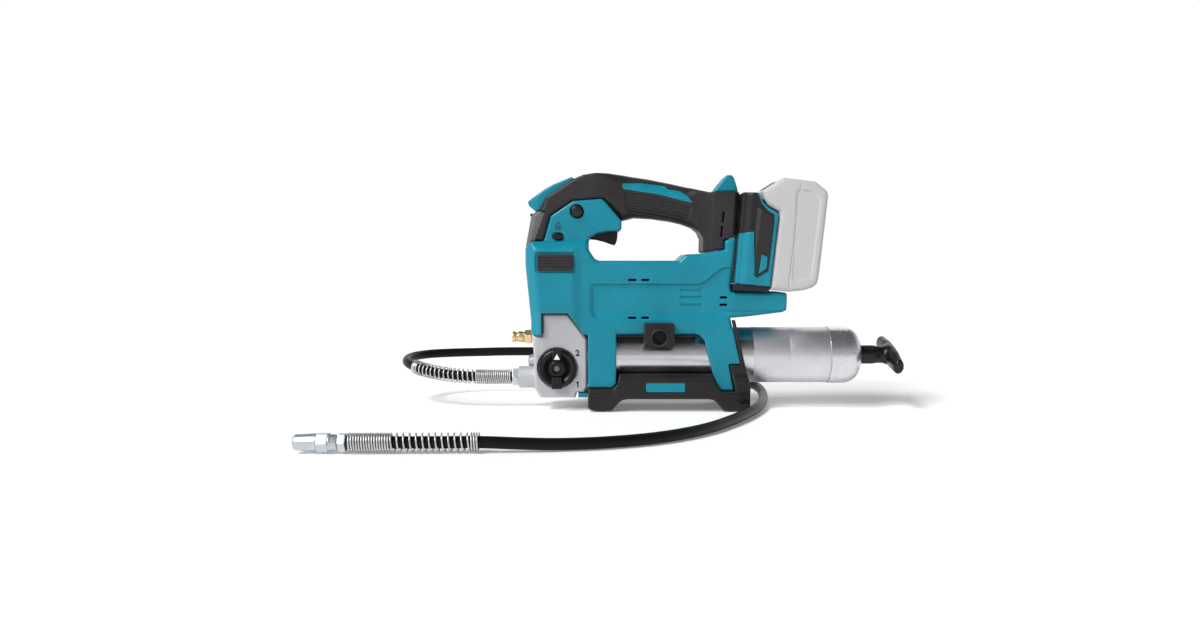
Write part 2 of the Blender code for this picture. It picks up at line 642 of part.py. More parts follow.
def motor():
    """Field case, armature with commutator and sun pinion, fan, brushes and bearings."""
    end = MOTOR_END
    case = [(MOTOR_START, MOTOR_R - MOTOR_WALL), (MOTOR_START, MOTOR_R), (end, MOTOR_R),
            (end, MOTOR_R - MOTOR_WALL)]
    finish("motor_case", turned_mesh(case, "X", AXIS, 32), "steel")
    profile = [(2.0, 0), (2.0, SHAFT_R), (MOTOR_START + 7, SHAFT_R), (MOTOR_START + 7, ROTOR_R),
               (end - 8, ROTOR_R), (end - 8, 9), (end + 11, 9), (end + 11, SHAFT_R),
               (REAR_BEARING_X + 6, SHAFT_R), (REAR_BEARING_X + 6, 0)]
    armature = finish("armature", turned_mesh(profile, "X", AXIS, 24), "copper",
                      (MOTOR_START, 0, MOTOR_Z))
    pitch = MODULE * SUN_TEETH / 2
    weld(armature, prism_mesh(gear_outline(SUN_TEETH, AXIS, 0, pitch - DEDENDUM,
                                           pitch + ADDENDUM), GEAR_LOW + 0.2, GEAR_HIGH,
                              plane="YZ"))
    fan_x = MOTOR_START - 9
    hub = finish("cooling_fan", ring_mesh("X", AXIS, SHAFT_R + GAP, 7, fan_x, fan_x + 6, 16),
                 "black", (fan_x, 0, MOTOR_Z))
    weld(hub, ring_mesh("X", AXIS, 5, 20, fan_x + 0.3, fan_x + 1.8, 18))
    for k in range(7):
        blade = box_mesh((fan_x + 1, -0.8, MOTOR_Z + 6), (fan_x + 5.6, 0.8, MOTOR_Z + 19))
        bmesh.ops.rotate(blade, verts=blade.verts, cent=(0, 0, MOTOR_Z),
                         matrix=Matrix.Rotation(2 * math.pi * (k + 0.4) / 7, 3, "X"))
        weld(hub, blade)
    holder = finish("brush_holder",
                    ring_mesh("X", AXIS, 14, MOTOR_R - 4, end + GAP, end + 10, 32), "black")
    for sign in (-1, 1):
        weld(holder, box_mesh((end + 2, min(sign * 9.6, sign * 18), MOTOR_Z - 3),
                              (end + 8, max(sign * 9.6, sign * 18), MOTOR_Z + 3)))
    for name, x in (("bearing_front", BEARING_X), ("bearing_rear", REAR_BEARING_X)):
        finish(name, ring_mesh("X", AXIS, SHAFT_R + RUNNING, BEARING_R, x, x + BEARING_LENGTH,
                               16), "steel")


def gearbox():
    """The gearbox case, with the ring gear's teeth inside it."""
    ring_pitch = MODULE * RING_TEETH / 2
    room = ring_pitch - ADDENDUM - 1.5
    low, seat = CARRIER_X - 11, BEARING_X - GAP
    profile = [(low, OUTPUT_R + RUNNING), (low, CASE_R), (BEARING_X + 7, CASE_R),
               (BEARING_X + 7, BEARING_R + GAP), (seat, BEARING_R + GAP), (seat, SHAFT_R + 2.5),
               (GEAR_HIGH + 3, SHAFT_R + 2.5), (GEAR_HIGH + 3, room),
               (low + 6, room), (low + 6, OUTPUT_R + RUNNING)]
    case = finish("gearbox_case", turned_mesh(profile, "X", AXIS, 32), "cast")
    cut(case, prism_mesh(gear_outline(RING_TEETH, AXIS, ring_turn(), ring_pitch - ADDENDUM - 0.05,
                                      ring_pitch + DEDENDUM, internal=True),
                         -9.5, GEAR_HIGH + 2.5, plane="YZ"))


def carrier():
    """Planet carrier, output shaft and crank in one turned piece, with its pins."""
    plate = (CARRIER_X - 3.5, CARRIER_X + 4.5)
    plate_r = ORBIT + 1.8 * PLANET_PIN_R
    crank_r = CRANK_THROW + 2 * CRANK_PIN_R
    profile = [(CRANK_FACE, 0), (CRANK_FACE, crank_r), (CRANK_FACE + 4, crank_r),
               (CRANK_FACE + 4, OUTPUT_R), (plate[0], OUTPUT_R), (plate[0], plate_r),
               (plate[1], plate_r), (plate[1], 0)]
    made = finish("planet_carrier", turned_mesh(profile, "X", AXIS, 24), "steel",
                  (CARRIER_X, 0, MOTOR_Z))
    for orbit, _ in planet_places():
        pin = (ORBIT * math.cos(orbit), MOTOR_Z + ORBIT * math.sin(orbit))
        weld(made, rod_mesh("X", pin, PLANET_PIN_R, CARRIER_X + 3, GEAR_HIGH - 0.5, 12))
    weld(made, rod_mesh("X", (CRANK_THROW, MOTOR_Z), CRANK_PIN_R, YOKE_X - 0.8,
                        CRANK_FACE + 2, 16))


def planets():
    pitch = MODULE * PLANET_TEETH / 2
    for number, (orbit, turn) in enumerate(planet_places(), 1):
        centre = (ORBIT * math.cos(orbit), MOTOR_Z + ORBIT * math.sin(orbit))
        planet = finish("planet_%d" % number,
                        prism_mesh(gear_outline(PLANET_TEETH, centre, turn, pitch - DEDENDUM,
                                                pitch + ADDENDUM), GEAR_LOW, GEAR_HIGH,
                                   plane="YZ"), "steel", (GEAR_LOW, *centre))
        cut(planet, rod_mesh("X", centre, PLANET_PIN_R + RUNNING, GEAR_LOW - 2, GEAR_HIGH + 2, 16))


def plunger():
    """The yoke around the crank pin, and the plunger under it.

    The window clears the pin at every crank angle and every place of the plunger.
    """
    window_y = CRANK_THROW + CRANK_PIN_R + 0.8
    window_z = 2 * CRANK_THROW + CRANK_PIN_R + GAP
    low, high = MOTOR_Z - window_z, MOTOR_Z + window_z
    yoke = finish("plunger_yoke", box_mesh((YOKE_X, -window_y - YOKE_BAR, low - YOKE_BAR),
                                           (YOKE_X + 10, window_y + YOKE_BAR, high + YOKE_BAR)),
                  "steel", (PLUNGER_X, 0, MOTOR_Z))
    cut(yoke, box_mesh((YOKE_X - 5, -window_y, low), (YOKE_X + 15, window_y, high)))
    weld(yoke, rod_mesh("Z", (PLUNGER_X, 0), PLUNGER_R, PLUNGER_FOOT, low - YOKE_BAR / 2, 16))


def pump():
    """The cast pump head with its bores, valves and fittings."""
    head = finish("pump_head", prism_mesh(PUMP_OUTLINE, -PUMP_HALF, PUMP_HALF, 1.5), "cast")
    collar = BARREL_R - BARREL_WALL - GAP
    weld(head, ring_mesh("X", (0, BARREL_Z), collar - 3, collar, -22, -2, 40),
         rod_mesh("X", (0, OUTLET_Z), 11.35, -84.8, -60, 24))
    cut(head, rod_mesh("X", (0, BARREL_Z), 5, PLUNGER_X, 20, 16),
        rod_mesh("Z", (PLUNGER_X, 0), PLUNGER_R + RUNNING, 26, 120, 16),
        turned_mesh([(-100, 0), (-100, OUTLET_BORE_R), (-60, OUTLET_BORE_R), (-60, BORE_R),
                     (PLUNGER_X, BORE_R), (PLUNGER_X, 0)], "X", (0, OUTLET_Z), 16),
        rod_mesh("X", (0, BLEEDER_Z), BLEEDER_R + RUNNING, -80, PLUNGER_X, 12),
        rod_mesh("Y", (DIAL_Z, DIAL_X), SPOOL_R + RUNNING, -50, 8, 20),
        rod_mesh("X", NIPPLE_PLACE, 3.4, -80, -62, 12))
    fitting = finish("outlet_fitting",
                     rod_mesh("X", (0, OUTLET_Z), 9.7, -91.3, -85.1, 6, math.pi / 6), "steel")
    weld(fitting, rod_mesh("X", (0, OUTLET_Z), OUTLET_BORE_R - GAP, -86, -76, 16))
    cut(fitting, rod_mesh("X", (0, OUTLET_Z), 2, -100, -70, 12))
    arc = [(BALL_X + BALL_R * math.cos(k * math.pi / 6),
            BALL_R * math.sin(k * math.pi / 6) if 0 < k < 6 else 0) for k in range(7)]
    finish("check_ball", turned_mesh(arc, "X", (0, OUTLET_Z), 12), "steel",
           (BALL_X, 0, OUTLET_Z))
    coil("check_spring", -75.4, BALL_X - BALL_R - 0.4, (0, OUTLET_Z), 2.6, 0.45, 4, 10)
    body = finish("bleeder_body", turned_mesh(
        [(-70.8, 0), (-70.8, 5.2), (-72.5, 5.2), (-72.5, 6.6), (-79, 6.6), (-79, 0)],
        "X", (0, BLEEDER_Z), 6), "brass")
    weld(body, rod_mesh("X", (0, BLEEDER_Z), BLEEDER_R, -78, -64, 12))
    finish("bleeder_knob", turned_mesh(
        [(-79.4, 0), (-79.4, 4.4), (-84, 4.4), (-84, 5.7), (-90, 5.7), (-91.5, 4.6), (-91.5, 0)],
        "X", (0, BLEEDER_Z), 12), "brass", (-79.4, 0, BLEEDER_Z))
    finish("grease_nipple", turned_mesh(
        [(-68.9, 0), (-68.9, 7.2), (-74, 7.2), (-75.8, 4), (-75.8, 0)], "X", NIPPLE_PLACE, 16),
        "steel")


def dial():
    """The two-speed dial and the rotary valve on its stem."""
    face = -PUMP_HALF - GAP
    profile = [(face, 0), (face, DIAL_R), (face - 4, DIAL_R), (face - 5, DIAL_R - 1),
               (face - 5, 0)]
    knob = finish("speed_dial", turned_mesh(profile, "Y", (DIAL_Z, DIAL_X), 32), "black",
                  (DIAL_X, face, DIAL_Z))
    grip = [(DIAL_X - 5.5, DIAL_Z - 17), (DIAL_X + 5.5, DIAL_Z - 17),
            (DIAL_X + 4, DIAL_Z + 17), (DIAL_X - 4, DIAL_Z + 17)]
    weld(knob, prism_mesh(grip, face - 12, face - 4, 1.0),
         rod_mesh("Y", (DIAL_Z, DIAL_X), SPOOL_R, face - 1, 6, 20))
    cut(knob, box_mesh((DIAL_X - 1.2, -3, DIAL_Z - 20), (DIAL_X + 20, 3, DIAL_Z + 20)))


def coil(name, low, high, centre, radius, wire, turns, steps):
    """A compression spring about X between two planes."""
    count = turns * steps
    path = [Vector((low + wire + (high - low - 2 * wire) * k / count,
                    centre[0] + radius * math.cos(2 * math.pi * k / steps),
                    centre[1] + radius * math.sin(2 * math.pi * k / steps)))
            for k in range(count + 1)]
    return finish(name, tube_mesh(path, 0, wire, 5), "steel")


# ======== the controls ========

def controls():
    finish("trigger", prism_mesh(TRIGGER_OUTLINE, -TRIGGER_HALF, TRIGGER_HALF, 1.0), "black",
           TRIGGER_PIVOT)
    profile = [(-16.5, 0), (-16.5, BUTTON_R), (-HEAD_HALF - 2.6, BUTTON_R),
               (-HEAD_HALF - 3.2, BUTTON_R - 0.8), (-HEAD_HALF - 3.2, 0)]
    finish("lock_on_button", turned_mesh(profile, "Y", (BUTTON_Z, BUTTON_X), 24), "black",
           (BUTTON_X, -HEAD_HALF, BUTTON_Z))
    finish("lock_off_bolt", prism_mesh(bolt_outline(), -HEAD_HALF - 2.6, HEAD_HALF - 0.6),
           "black", (BOLT_X, 0, BOLT_Z))
    switch = finish("switch_body", box_mesh((-16, -10, 193), (4, 10, 207)), "black")
    weld(switch, box_mesh((-14, -8, 190.6), (-8, 8, 194)))
    finish("control_board", box_mesh((42, -26, 142.5), (78, 26, 145.5)), "board")


# ======== the barrel ========

def barrel():
    """Grease tube, its domed cap, and the follower with its rod, handle and spring."""
    centre = (0, BARREL_Z)
    inside = BARREL_R - BARREL_WALL
    start, groove = -12.0, BARREL_END - 39
    finish("barrel", turned_mesh(
        [(start, inside), (start, BARREL_R), (groove - 1, BARREL_R), (groove, BARREL_R - 0.5),
         (groove + 1, BARREL_R), (BARREL_END, BARREL_R), (BARREL_END, inside)],
        "X", centre, 40), "cast")
    dome = [(BARREL_END - 8, inside - GAP - 1.5), (BARREL_END - 8, inside - GAP),
            (BARREL_END + GAP, inside - GAP), (BARREL_END + GAP, CAP_R)]
    dome_start = BARREL_END + 16
    nose_r = 11.0
    depth = CAP_END - dome_start
    for k in range(6):
        turn = math.pi / 2 * k / 5
        dome.append((dome_start + depth * math.sin(turn),
                     nose_r + (CAP_R - nose_r) * math.cos(turn)))
    dome += [(CAP_END, ROD_R + RUNNING), (CAP_END - 3, ROD_R + RUNNING),
             (CAP_END - 3, nose_r - 2), (dome_start + depth * 0.6, CAP_R - 9),
             (dome_start, inside - GAP - 1.5)]
    finish("barrel_cap", turned_mesh(dome, "X", centre, 36), "steel")
    front, back = FOLLOWER_X, FOLLOWER_X + 14
    follower = [(front, ROD_R + GAP), (front, inside - 2.5), (front + 3, inside - GAP),
                (back, inside - GAP), (back, inside - 2.5), (front + 4, inside - 4),
                (front + 4, ROD_R + GAP)]
    finish("follower", turned_mesh(follower, "X", centre, 32), "rubber",
           (FOLLOWER_X, 0, BARREL_Z))
    finish("follower_rod", turned_mesh(
        [(FOLLOWER_X - 3, 0), (FOLLOWER_X - 3, 6.5), (FOLLOWER_X - GAP, 6.5),
         (FOLLOWER_X - GAP, ROD_R), (HANDLE_X, ROD_R), (HANDLE_X, 0)], "X", centre, 16),
        "steel", (FOLLOWER_X, 0, BARREL_Z))
    coil("follower_spring", FOLLOWER_X + 4.4, BARREL_END - 8.5, centre,
         inside - 4 - 2 * SPRING_WIRE_R - 3.5, SPRING_WIRE_R, SPRING_TURNS, 10)
    pull_handle()


def pull_handle():
    """The stem on the rod's end and the bar across it."""
    handle = finish("pull_handle", rod_mesh("X", (0, BARREL_Z), STEM_R, CAP_END + GAP,
                                             HANDLE_X + 10, 24),
                    "black", (CAP_END, 0, BARREL_Z))
    grip = turned_mesh([(-36, 0), (-34.5, 5.5), (-27, 8.8), (0, 8.6), (27, 8.8), (34.5, 5.5),
                        (36, 0)], "Y", (0, 0), 16)
    bmesh.ops.rotate(grip, verts=grip.verts, cent=(0, 0, 0),
                     matrix=Matrix.Rotation(BAR_TILT, 3, "X"))
    bmesh.ops.translate(grip, verts=grip.verts, vec=(HANDLE_X + 16, 0, BARREL_Z))
    weld(handle, grip)
    cut(handle, rod_mesh("X", (0, BARREL_Z), ROD_R + GAP, CAP_END - 5, HANDLE_X + GAP, 16))


# ======== the hose ========

def smooth_route(step=20.0):
    """Points along one smooth curve through the route's own points."""
    knots = [Vector(point) for point in HOSE_ROUTE]
    dense = []
    steps = 12
    for i in range(len(knots) - 1):
        before = knots[max(i - 1, 0)]
        after = knots[min(i + 2, len(knots) - 1)]
        here, there = knots[i], knots[i + 1]
        for k in range(steps):
            t = k / steps
            dense.append(0.5 * ((2 * here) + (there - before) * t
                                + (2 * before - 5 * here + 4 * there - after) * t * t
                                + (3 * here - before - 3 * there + after) * t * t * t))
    dense.append(knots[-1])
    result = [dense[0]]
    travelled = 0.0
    for a, b in zip(dense, dense[1:]):
        travelled += (b - a).length
        if travelled >= step:
            result.append(b)
            travelled = 0.0
    result[-1 if travelled < step / 2 else len(result):] = [dense[-1]]
    return result


def hose():
    route = smooth_route()
    curve = bpy.data.curves.new("hose", "CURVE")
    curve.dimensions = "3D"
    curve.bevel_depth = HOSE_R * MM
    curve.bevel_resolution = 2
    curve.use_fill_caps = True
    spline = curve.splines.new("POLY")
    spline.points.add(len(route) - 1)
    for point, place in zip(spline.points, route):
        point.co = (*(place * MM), 1.0)
    made = bpy.data.objects.new("hose", curve)
    curve.materials.append(material("hose", *LOOKS["rubber"]))
    bpy.context.scene.collection.objects.link(made)

    inner = HOSE_R + 1.0
    near = smooth_route(10.0)
    start = [p for p in near if p.y < 30 and p.x < -80 and p.z > 30]
    finish("hose_guard_inlet", tube_mesh(start, inner, GUARD_R), "steel")
    end = [p for p in near if p.y < -250 and p.x < -90]
    finish("hose_guard_outlet", tube_mesh(end, inner, GUARD_R), "steel")
    tip = HOSE_ROUTE[-1]
    centre = (tip[1], tip[2])
    finish("hose_end_fitting",
           ring_mesh("X", centre, 3.0, 8.1, tip[0] - 6.5, tip[0] - GAP, 6), "steel")
    finish("coupler", turned_mesh(
        [(-206.3, 3.0), (-206.3, 6.8), (-210, 7.6), (-210, 8.2), (-224, 8.2), (-224, 7.5),
         (-242.5, 6.7), (-243.9, 5.6), (-243.9, 3.6), (-226, 3.6), (-226, 3.0)],
        "X", centre, 16), "steel")


def main():
    housing("left")
    housing("right")
    housing_screws()
    grip_covers()
    front_panel()
    strap_loops()
    side_pads()
    base()
    coupler_holder()
    battery_mount()
    battery()
    motor()
    gearbox()
    carrier()
    planets()
    plunger()
    pump()
    dial()
    controls()
    barrel()
    hose()


main()
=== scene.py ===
"""Looks of the cordless grease gun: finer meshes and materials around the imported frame.

Lengths are millimetres in the shape functions; put() scales meshes to metres.
The left side is -Y. Most shapes are signed distance fields, meshed on a grid.
"""
import math

import bmesh
import bpy
import numpy as np
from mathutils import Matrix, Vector


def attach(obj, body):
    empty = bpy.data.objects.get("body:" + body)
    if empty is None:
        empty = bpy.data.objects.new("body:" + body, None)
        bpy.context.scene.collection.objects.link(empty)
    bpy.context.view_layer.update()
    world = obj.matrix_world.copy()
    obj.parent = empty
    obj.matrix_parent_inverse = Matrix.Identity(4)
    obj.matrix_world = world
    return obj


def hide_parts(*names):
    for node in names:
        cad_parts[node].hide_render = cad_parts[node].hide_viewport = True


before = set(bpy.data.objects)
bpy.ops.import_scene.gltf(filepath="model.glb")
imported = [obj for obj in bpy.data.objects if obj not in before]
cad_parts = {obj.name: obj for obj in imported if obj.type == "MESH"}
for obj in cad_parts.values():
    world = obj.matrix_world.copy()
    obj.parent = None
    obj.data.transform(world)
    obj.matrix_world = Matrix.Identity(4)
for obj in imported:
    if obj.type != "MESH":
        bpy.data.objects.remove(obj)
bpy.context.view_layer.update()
MM = 0.001
COARSE = 1.0
SIDES = (("left", -1), ("right", 1))
DIAGONAL = 0.7071   # scales the distance to a plane at 45 degrees


# ======== node materials ========

def start_material(name, colour, roughness, metallic=0.0):
    made = bpy.data.materials.new(name)
    made.use_nodes = True
    nodes = made.node_tree.nodes
    shader = nodes["Principled BSDF"]
    shader.inputs["Base Color"].default_value = (*colour, 1.0)
    shader.inputs["Roughness"].default_value = roughness
    shader.inputs["Metallic"].default_value = metallic
    return made, nodes, made.node_tree.links, shader


def noise(nodes, links, scale, detail=3.0, stretch=(1, 1, 1)):
    """Noise in object space, in features per metre."""
    place = nodes.new("ShaderNodeTexCoord")
    mapping = nodes.new("ShaderNodeMapping")
    mapping.inputs["Scale"].default_value = stretch
    links.new(place.outputs["Object"], mapping.inputs["Vector"])
    made = nodes.new("ShaderNodeTexNoise")
    made.inputs["Scale"].default_value = scale
    made.inputs["Detail"].default_value = detail
    links.new(mapping.outputs["Vector"], made.inputs["Vector"])
    return made


def ramp(nodes, links, source, low, high):
    """Map a 0..1 output to a range of roughness or height."""
    made = nodes.new("ShaderNodeMapRange")
    made.inputs["From Min"].default_value = 0.3
    made.inputs["From Max"].default_value = 0.7
    made.inputs["To Min"].default_value = low
    made.inputs["To Max"].default_value = high
    links.new(source, made.inputs["Value"])
    return made.outputs["Result"]


def tinted(nodes, links, source, dark, light, shader):
    """Vary the base colour between two near tones."""
    made = nodes.new("ShaderNodeValToRGB")
    made.color_ramp.elements[0].position = 0.35
    made.color_ramp.elements[1].position = 0.65
    made.color_ramp.elements[0].color = (*dark, 1)
    made.color_ramp.elements[1].color = (*light, 1)
    links.new(source, made.inputs["Fac"])
    links.new(made.outputs["Color"], shader.inputs["Base Color"])
    return made


def bumped(nodes, links, source, distance, strength, shader):
    made = nodes.new("ShaderNodeBump")
    made.inputs["Distance"].default_value = distance
    made.inputs["Strength"].default_value = strength
    links.new(source, made.inputs["Height"])
    links.new(made.outputs["Normal"], shader.inputs["Normal"])


def plastic(name, colour, roughness, grain=2600, depth=0.00004, spread=0.06, edge_highlight=0.35,
            specular=0.4):
    """Moulded plastic: spark-eroded grain, varied gloss, and a painted highlight on sharp edges."""
    made, nodes, links, shader = start_material(name, colour, roughness)
    shader.inputs["Specular IOR Level"].default_value = specular
    fine = noise(nodes, links, grain)
    broad = noise(nodes, links, 45, 2.0)
    links.new(ramp(nodes, links, broad.outputs["Fac"], roughness - spread, roughness + spread),
              shader.inputs["Roughness"])
    dark = tuple(c * 0.94 for c in colour)
    light = tuple(min(c * 1.05, 1) for c in colour)
    tone = tinted(nodes, links, broad.outputs["Fac"], dark, light, shader)
    # Painted highlight: sharp convex edges are paled towards grey.
    painted_edge_highlight(nodes, links, tone, tuple(c + (0.35 - c) * edge_highlight * 0.35 for c in colour), edge_highlight,
               shader)
    bumped(nodes, links, fine.outputs["Fac"], depth, 0.5, shader)
    return made


def painted_edge_highlight(nodes, links, tone, colour, strength, shader):
    """Blend towards a paler colour where the surface is sharply convex: a painted highlight on the
    edges.
    """
    shape = nodes.new("ShaderNodeNewGeometry")
    convex = nodes.new("ShaderNodeMapRange")
    convex.inputs["From Min"].default_value = 0.515
    convex.inputs["From Max"].default_value = 0.58
    convex.inputs["To Max"].default_value = strength
    links.new(shape.outputs["Pointiness"], convex.inputs["Value"])
    mixed = nodes.new("ShaderNodeMixRGB")
    mixed.inputs["Color2"].default_value = (*colour, 1)
    links.new(convex.outputs["Result"], mixed.inputs["Fac"])
    links.new(tone.outputs["Color"], mixed.inputs["Color1"])
    links.new(mixed.outputs["Color"], shader.inputs["Base Color"])


def metal(name, colour, roughness, stretch=(1, 1, 1), scale=900, depth=0.00002, spread=0.08,
          metallic=1.0):
    """Metal with turned, brushed or cast texture, by how the noise is stretched."""
    made, nodes, links, shader = start_material(name, colour, roughness, metallic)
    fine = noise(nodes, links, scale, 4.0, stretch)
    broad = noise(nodes, links, 60, 3.0)
    links.new(ramp(nodes, links, fine.outputs["Fac"], roughness - spread, roughness + spread),
              shader.inputs["Roughness"])
    tinted(nodes, links, broad.outputs["Fac"], tuple(c * 0.93 for c in colour), colour, shader)
    bumped(nodes, links, fine.outputs["Fac"], depth, 0.35, shader)
    return made


def battery_shell(name):
    """Pale translucent plastic."""
    made, nodes, links, shader = start_material(name, (0.60, 0.60, 0.605), 0.38)
    fine = noise(nodes, links, 2200)
    bumped(nodes, links, fine.outputs["Fac"], 0.00002, 0.4, shader)
    shader.inputs["Transmission Weight"].default_value = 0.25
    shader.inputs["IOR"].default_value = 1.3
    return made


TEAL = plastic("teal_plastic", (0.003, 0.205, 0.285), 0.34, specular=0.32)
TEAL_DARK = plastic("teal_mark", (0.004, 0.09, 0.13), 0.5)
BLACK = plastic("black_plastic", (0.012, 0.0105, 0.0115), 0.44, 2200, 0.00006, edge_highlight=0.45,
                specular=0.3)
NOSE = plastic("nose_plastic", (0.12, 0.115, 0.12), 0.38, 2200, 0.00003)
ELASTOMER = plastic("elastomer", (0.019, 0.0165, 0.018), 0.5, 3000, 0.00005, specular=0.35)
GLOSS_BLACK = plastic("dial_plastic", (0.006, 0.006, 0.0065), 0.27, 1800, 0.00002, edge_highlight=0.3,
                      specular=0.3)
HOSE = plastic("hose_rubber", (0.006, 0.006, 0.0065), 0.34, 500, 0.00003, edge_highlight=0.0,
               specular=0.12)
CAST = metal("cast_alloy", (0.50, 0.50, 0.52), 0.42, scale=2200, depth=0.00005, metallic=0.45)
TUBE = metal("barrel_steel", (0.66, 0.66, 0.68), 0.25, (1, 6, 6), 120, depth=0.000001,
             spread=0.02)
SLEEVE = metal("barrel_sleeve", (0.66, 0.66, 0.69), 0.40, (1, 5, 5), 240, spread=0.1,
               metallic=0.85)
DOME = metal("dome_steel", (0.66, 0.66, 0.69), 0.27, (30, 1, 1), 300, metallic=0.9)
ZINC = metal("zinc_steel", (0.55, 0.585, 0.62), 0.34, scale=1200, metallic=0.8)
WIRE = metal("spring_wire", (0.60, 0.60, 0.60), 0.36, scale=1800, metallic=0.85)
STEEL = metal("inner_steel", (0.5, 0.5, 0.52), 0.35, scale=1500)
BRASS = metal("brass", (0.86, 0.64, 0.34), 0.3, scale=1500)
COPPER = metal("copper", (0.72, 0.34, 0.18), 0.35, (1, 20, 20), 600)
BOARD = plastic("circuit_board", (0.01, 0.09, 0.04), 0.35)
WHITE = plastic("white_mark", (0.8, 0.8, 0.8), 0.5, edge_highlight=0.0)
# Dark print for the dial numbers, also used for painted shade plates in gaps, holes and behind the
# vents.
DARK = plastic("dark_print_and_shade", (0.006, 0.006, 0.007), 0.55, edge_highlight=0.0)
GHOST = battery_shell("battery_shell")
LENS = plastic("lamp_lens", (0.75, 0.78, 0.8), 0.12, 900, 0.00002, edge_highlight=0.0)


# ======== distance fields ========

def inset(points, distance):
    """A polygon with every side moved in."""
    area = sum(a[0] * b[1] - b[0] * a[1] for a, b in zip(points, points[1:] + points[:1]))
    turn = 1 if area > 0 else -1
    result = []
    for i, here in enumerate(points):
        before, after = points[i - 1], points[(i + 1) % len(points)]
        first = Vector((here[0] - before[0], here[1] - before[1])).normalized()
        second = Vector((after[0] - here[0], after[1] - here[1])).normalized()
        in_a = Vector((-first.y, first.x)) * turn
        in_b = Vector((-second.y, second.x)) * turn
        miter = in_a + in_b
        miter /= max(miter.dot(in_a), 0.35)
        result.append((here[0] + miter.x * distance, here[1] + miter.y * distance))
    return result


def polygon(points, a, b, corner=0.0):
    """Signed distance to a polygon whose outer corners have a radius."""
    points = inset(points, corner) if corner else points
    nearest = None
    inside = None
    for (a0, b0), (a1, b1) in zip(points, points[1:] + points[:1]):
        side_a, side_b = a1 - a0, b1 - b0
        from_a, from_b = a - a0, b - b0
        t = np.clip((from_a * side_a + from_b * side_b) / (side_a ** 2 + side_b ** 2), 0, 1)
        square = (from_a - side_a * t) ** 2 + (from_b - side_b * t) ** 2
        nearest = square if nearest is None else np.minimum(nearest, square)
        if side_b:
            crossed = ((b0 <= b) != (b1 <= b)) & (a < a0 + (b - b0) / side_b * side_a)
            inside = crossed if inside is None else inside ^ crossed
    return np.where(inside, -1.0, 1.0) * np.sqrt(nearest) - corner


def extrude(flat, across, half, edge=1.0):
    """A flat shape's distance made a plate of a half-thickness, with rounded edges."""
    p, q = flat + edge, across - half + edge
    return np.minimum(np.maximum(p, q), 0) + np.hypot(np.maximum(p, 0), np.maximum(q, 0)) - edge


def blend(p, q, size):
    """Union with a fillet."""
    h = np.clip(0.5 + 0.5 * (q - p) / size, 0, 1)
    return q + (p - q) * h - size * h * (1 - h)


def both(p, q, size=0.0):
    """Intersection, with a round on the new edge."""
    return -blend(-p, -q, size) if size else np.maximum(p, q)


def less(p, q, size=0.0):
    """p with q taken out of it."""
    return both(p, -q, size)


def step(value, low, high):
    t = np.clip((value - low) / (high - low), 0, 1)
    return t * t * (3 - 2 * t)


def block(a, b, c, low, high, edge=0.0):
    """An axis-aligned box."""
    middle = [(p + q) / 2 for p, q in zip(low, high)]
    half = [(q - p) / 2 - edge for p, q in zip(low, high)]
    d = [np.abs(v - m) - h for v, m, h in zip((a, b, c), middle, half)]
    outside = np.sqrt(sum(np.maximum(v, 0) ** 2 for v in d))
    return outside + np.minimum(np.maximum(np.maximum(d[0], d[1]), d[2]), 0) - edge


def disc(a, b, centre, radius):
    return np.hypot(a - centre[0], b - centre[1]) - radius


# ======== meshing ========

def net(field, box, cell):
    """Quads around the zero level of a function of x, y and z, one vertex to a cell."""
    axes = [np.arange(l, h + cell, cell, dtype=np.float32) for l, h in zip(*box)]
    x, y, z = np.meshgrid(*axes, indexing="ij", sparse=True)
    value = np.broadcast_to(field(x, y, z), tuple(len(a) for a in axes)).astype(np.float32)
    solid = value < 0
    corner = [(i, j, k) for i in (0, 1) for j in (0, 1) for k in (0, 1)]
    cut = tuple(n - 1 for n in solid.shape)
    view = {c: solid[c[0]:c[0] + cut[0], c[1]:c[1] + cut[1], c[2]:c[2] + cut[2]] for c in corner}
    count = sum(view[c].astype(np.int8) for c in corner)
    cells = np.argwhere((count > 0) & (count < 8))
    at = {c: value[cells[:, 0] + c[0], cells[:, 1] + c[1], cells[:, 2] + c[2]] for c in corner}
    total = np.zeros((len(cells), 3))
    hits = np.zeros(len(cells))
    for axis in range(3):
        for c in corner:
            if c[axis]:
                continue
            d = list(c)
            d[axis] = 1
            p, q = at[c], at[tuple(d)]
            crossing = (p < 0) != (q < 0)
            t = np.where(crossing, p / np.where(crossing, p - q, 1), 0)
            point = np.tile(np.array(c, float), (len(cells), 1))
            point[:, axis] = t
            total += point * crossing[:, None]
            hits += crossing
    points = (cells + total / hits[:, None]) * cell + np.array([a[0] for a in axes])
    index = -np.ones(cut, np.int32)
    index[tuple(cells.T)] = np.arange(len(cells))
    quads = []
    for axis in range(3):
        b, c = (axis + 1) % 3, (axis + 2) % 3
        one = np.moveaxis(solid, (axis, b, c), (0, 1, 2))
        ids = np.moveaxis(index, (axis, b, c), (0, 1, 2))
        change = one[:-1, 1:-1, 1:-1] != one[1:, 1:-1, 1:-1]
        i, j, k = np.nonzero(change)
        j, k = j + 1, k + 1
        ring = np.stack([ids[i, j - 1, k - 1], ids[i, j, k - 1], ids[i, j, k],
                         ids[i, j - 1, k]], axis=1)
        flip = ~one[i, j, k]
        ring[flip] = ring[flip][:, ::-1]
        quads.append(ring)
    return points, np.concatenate(quads)


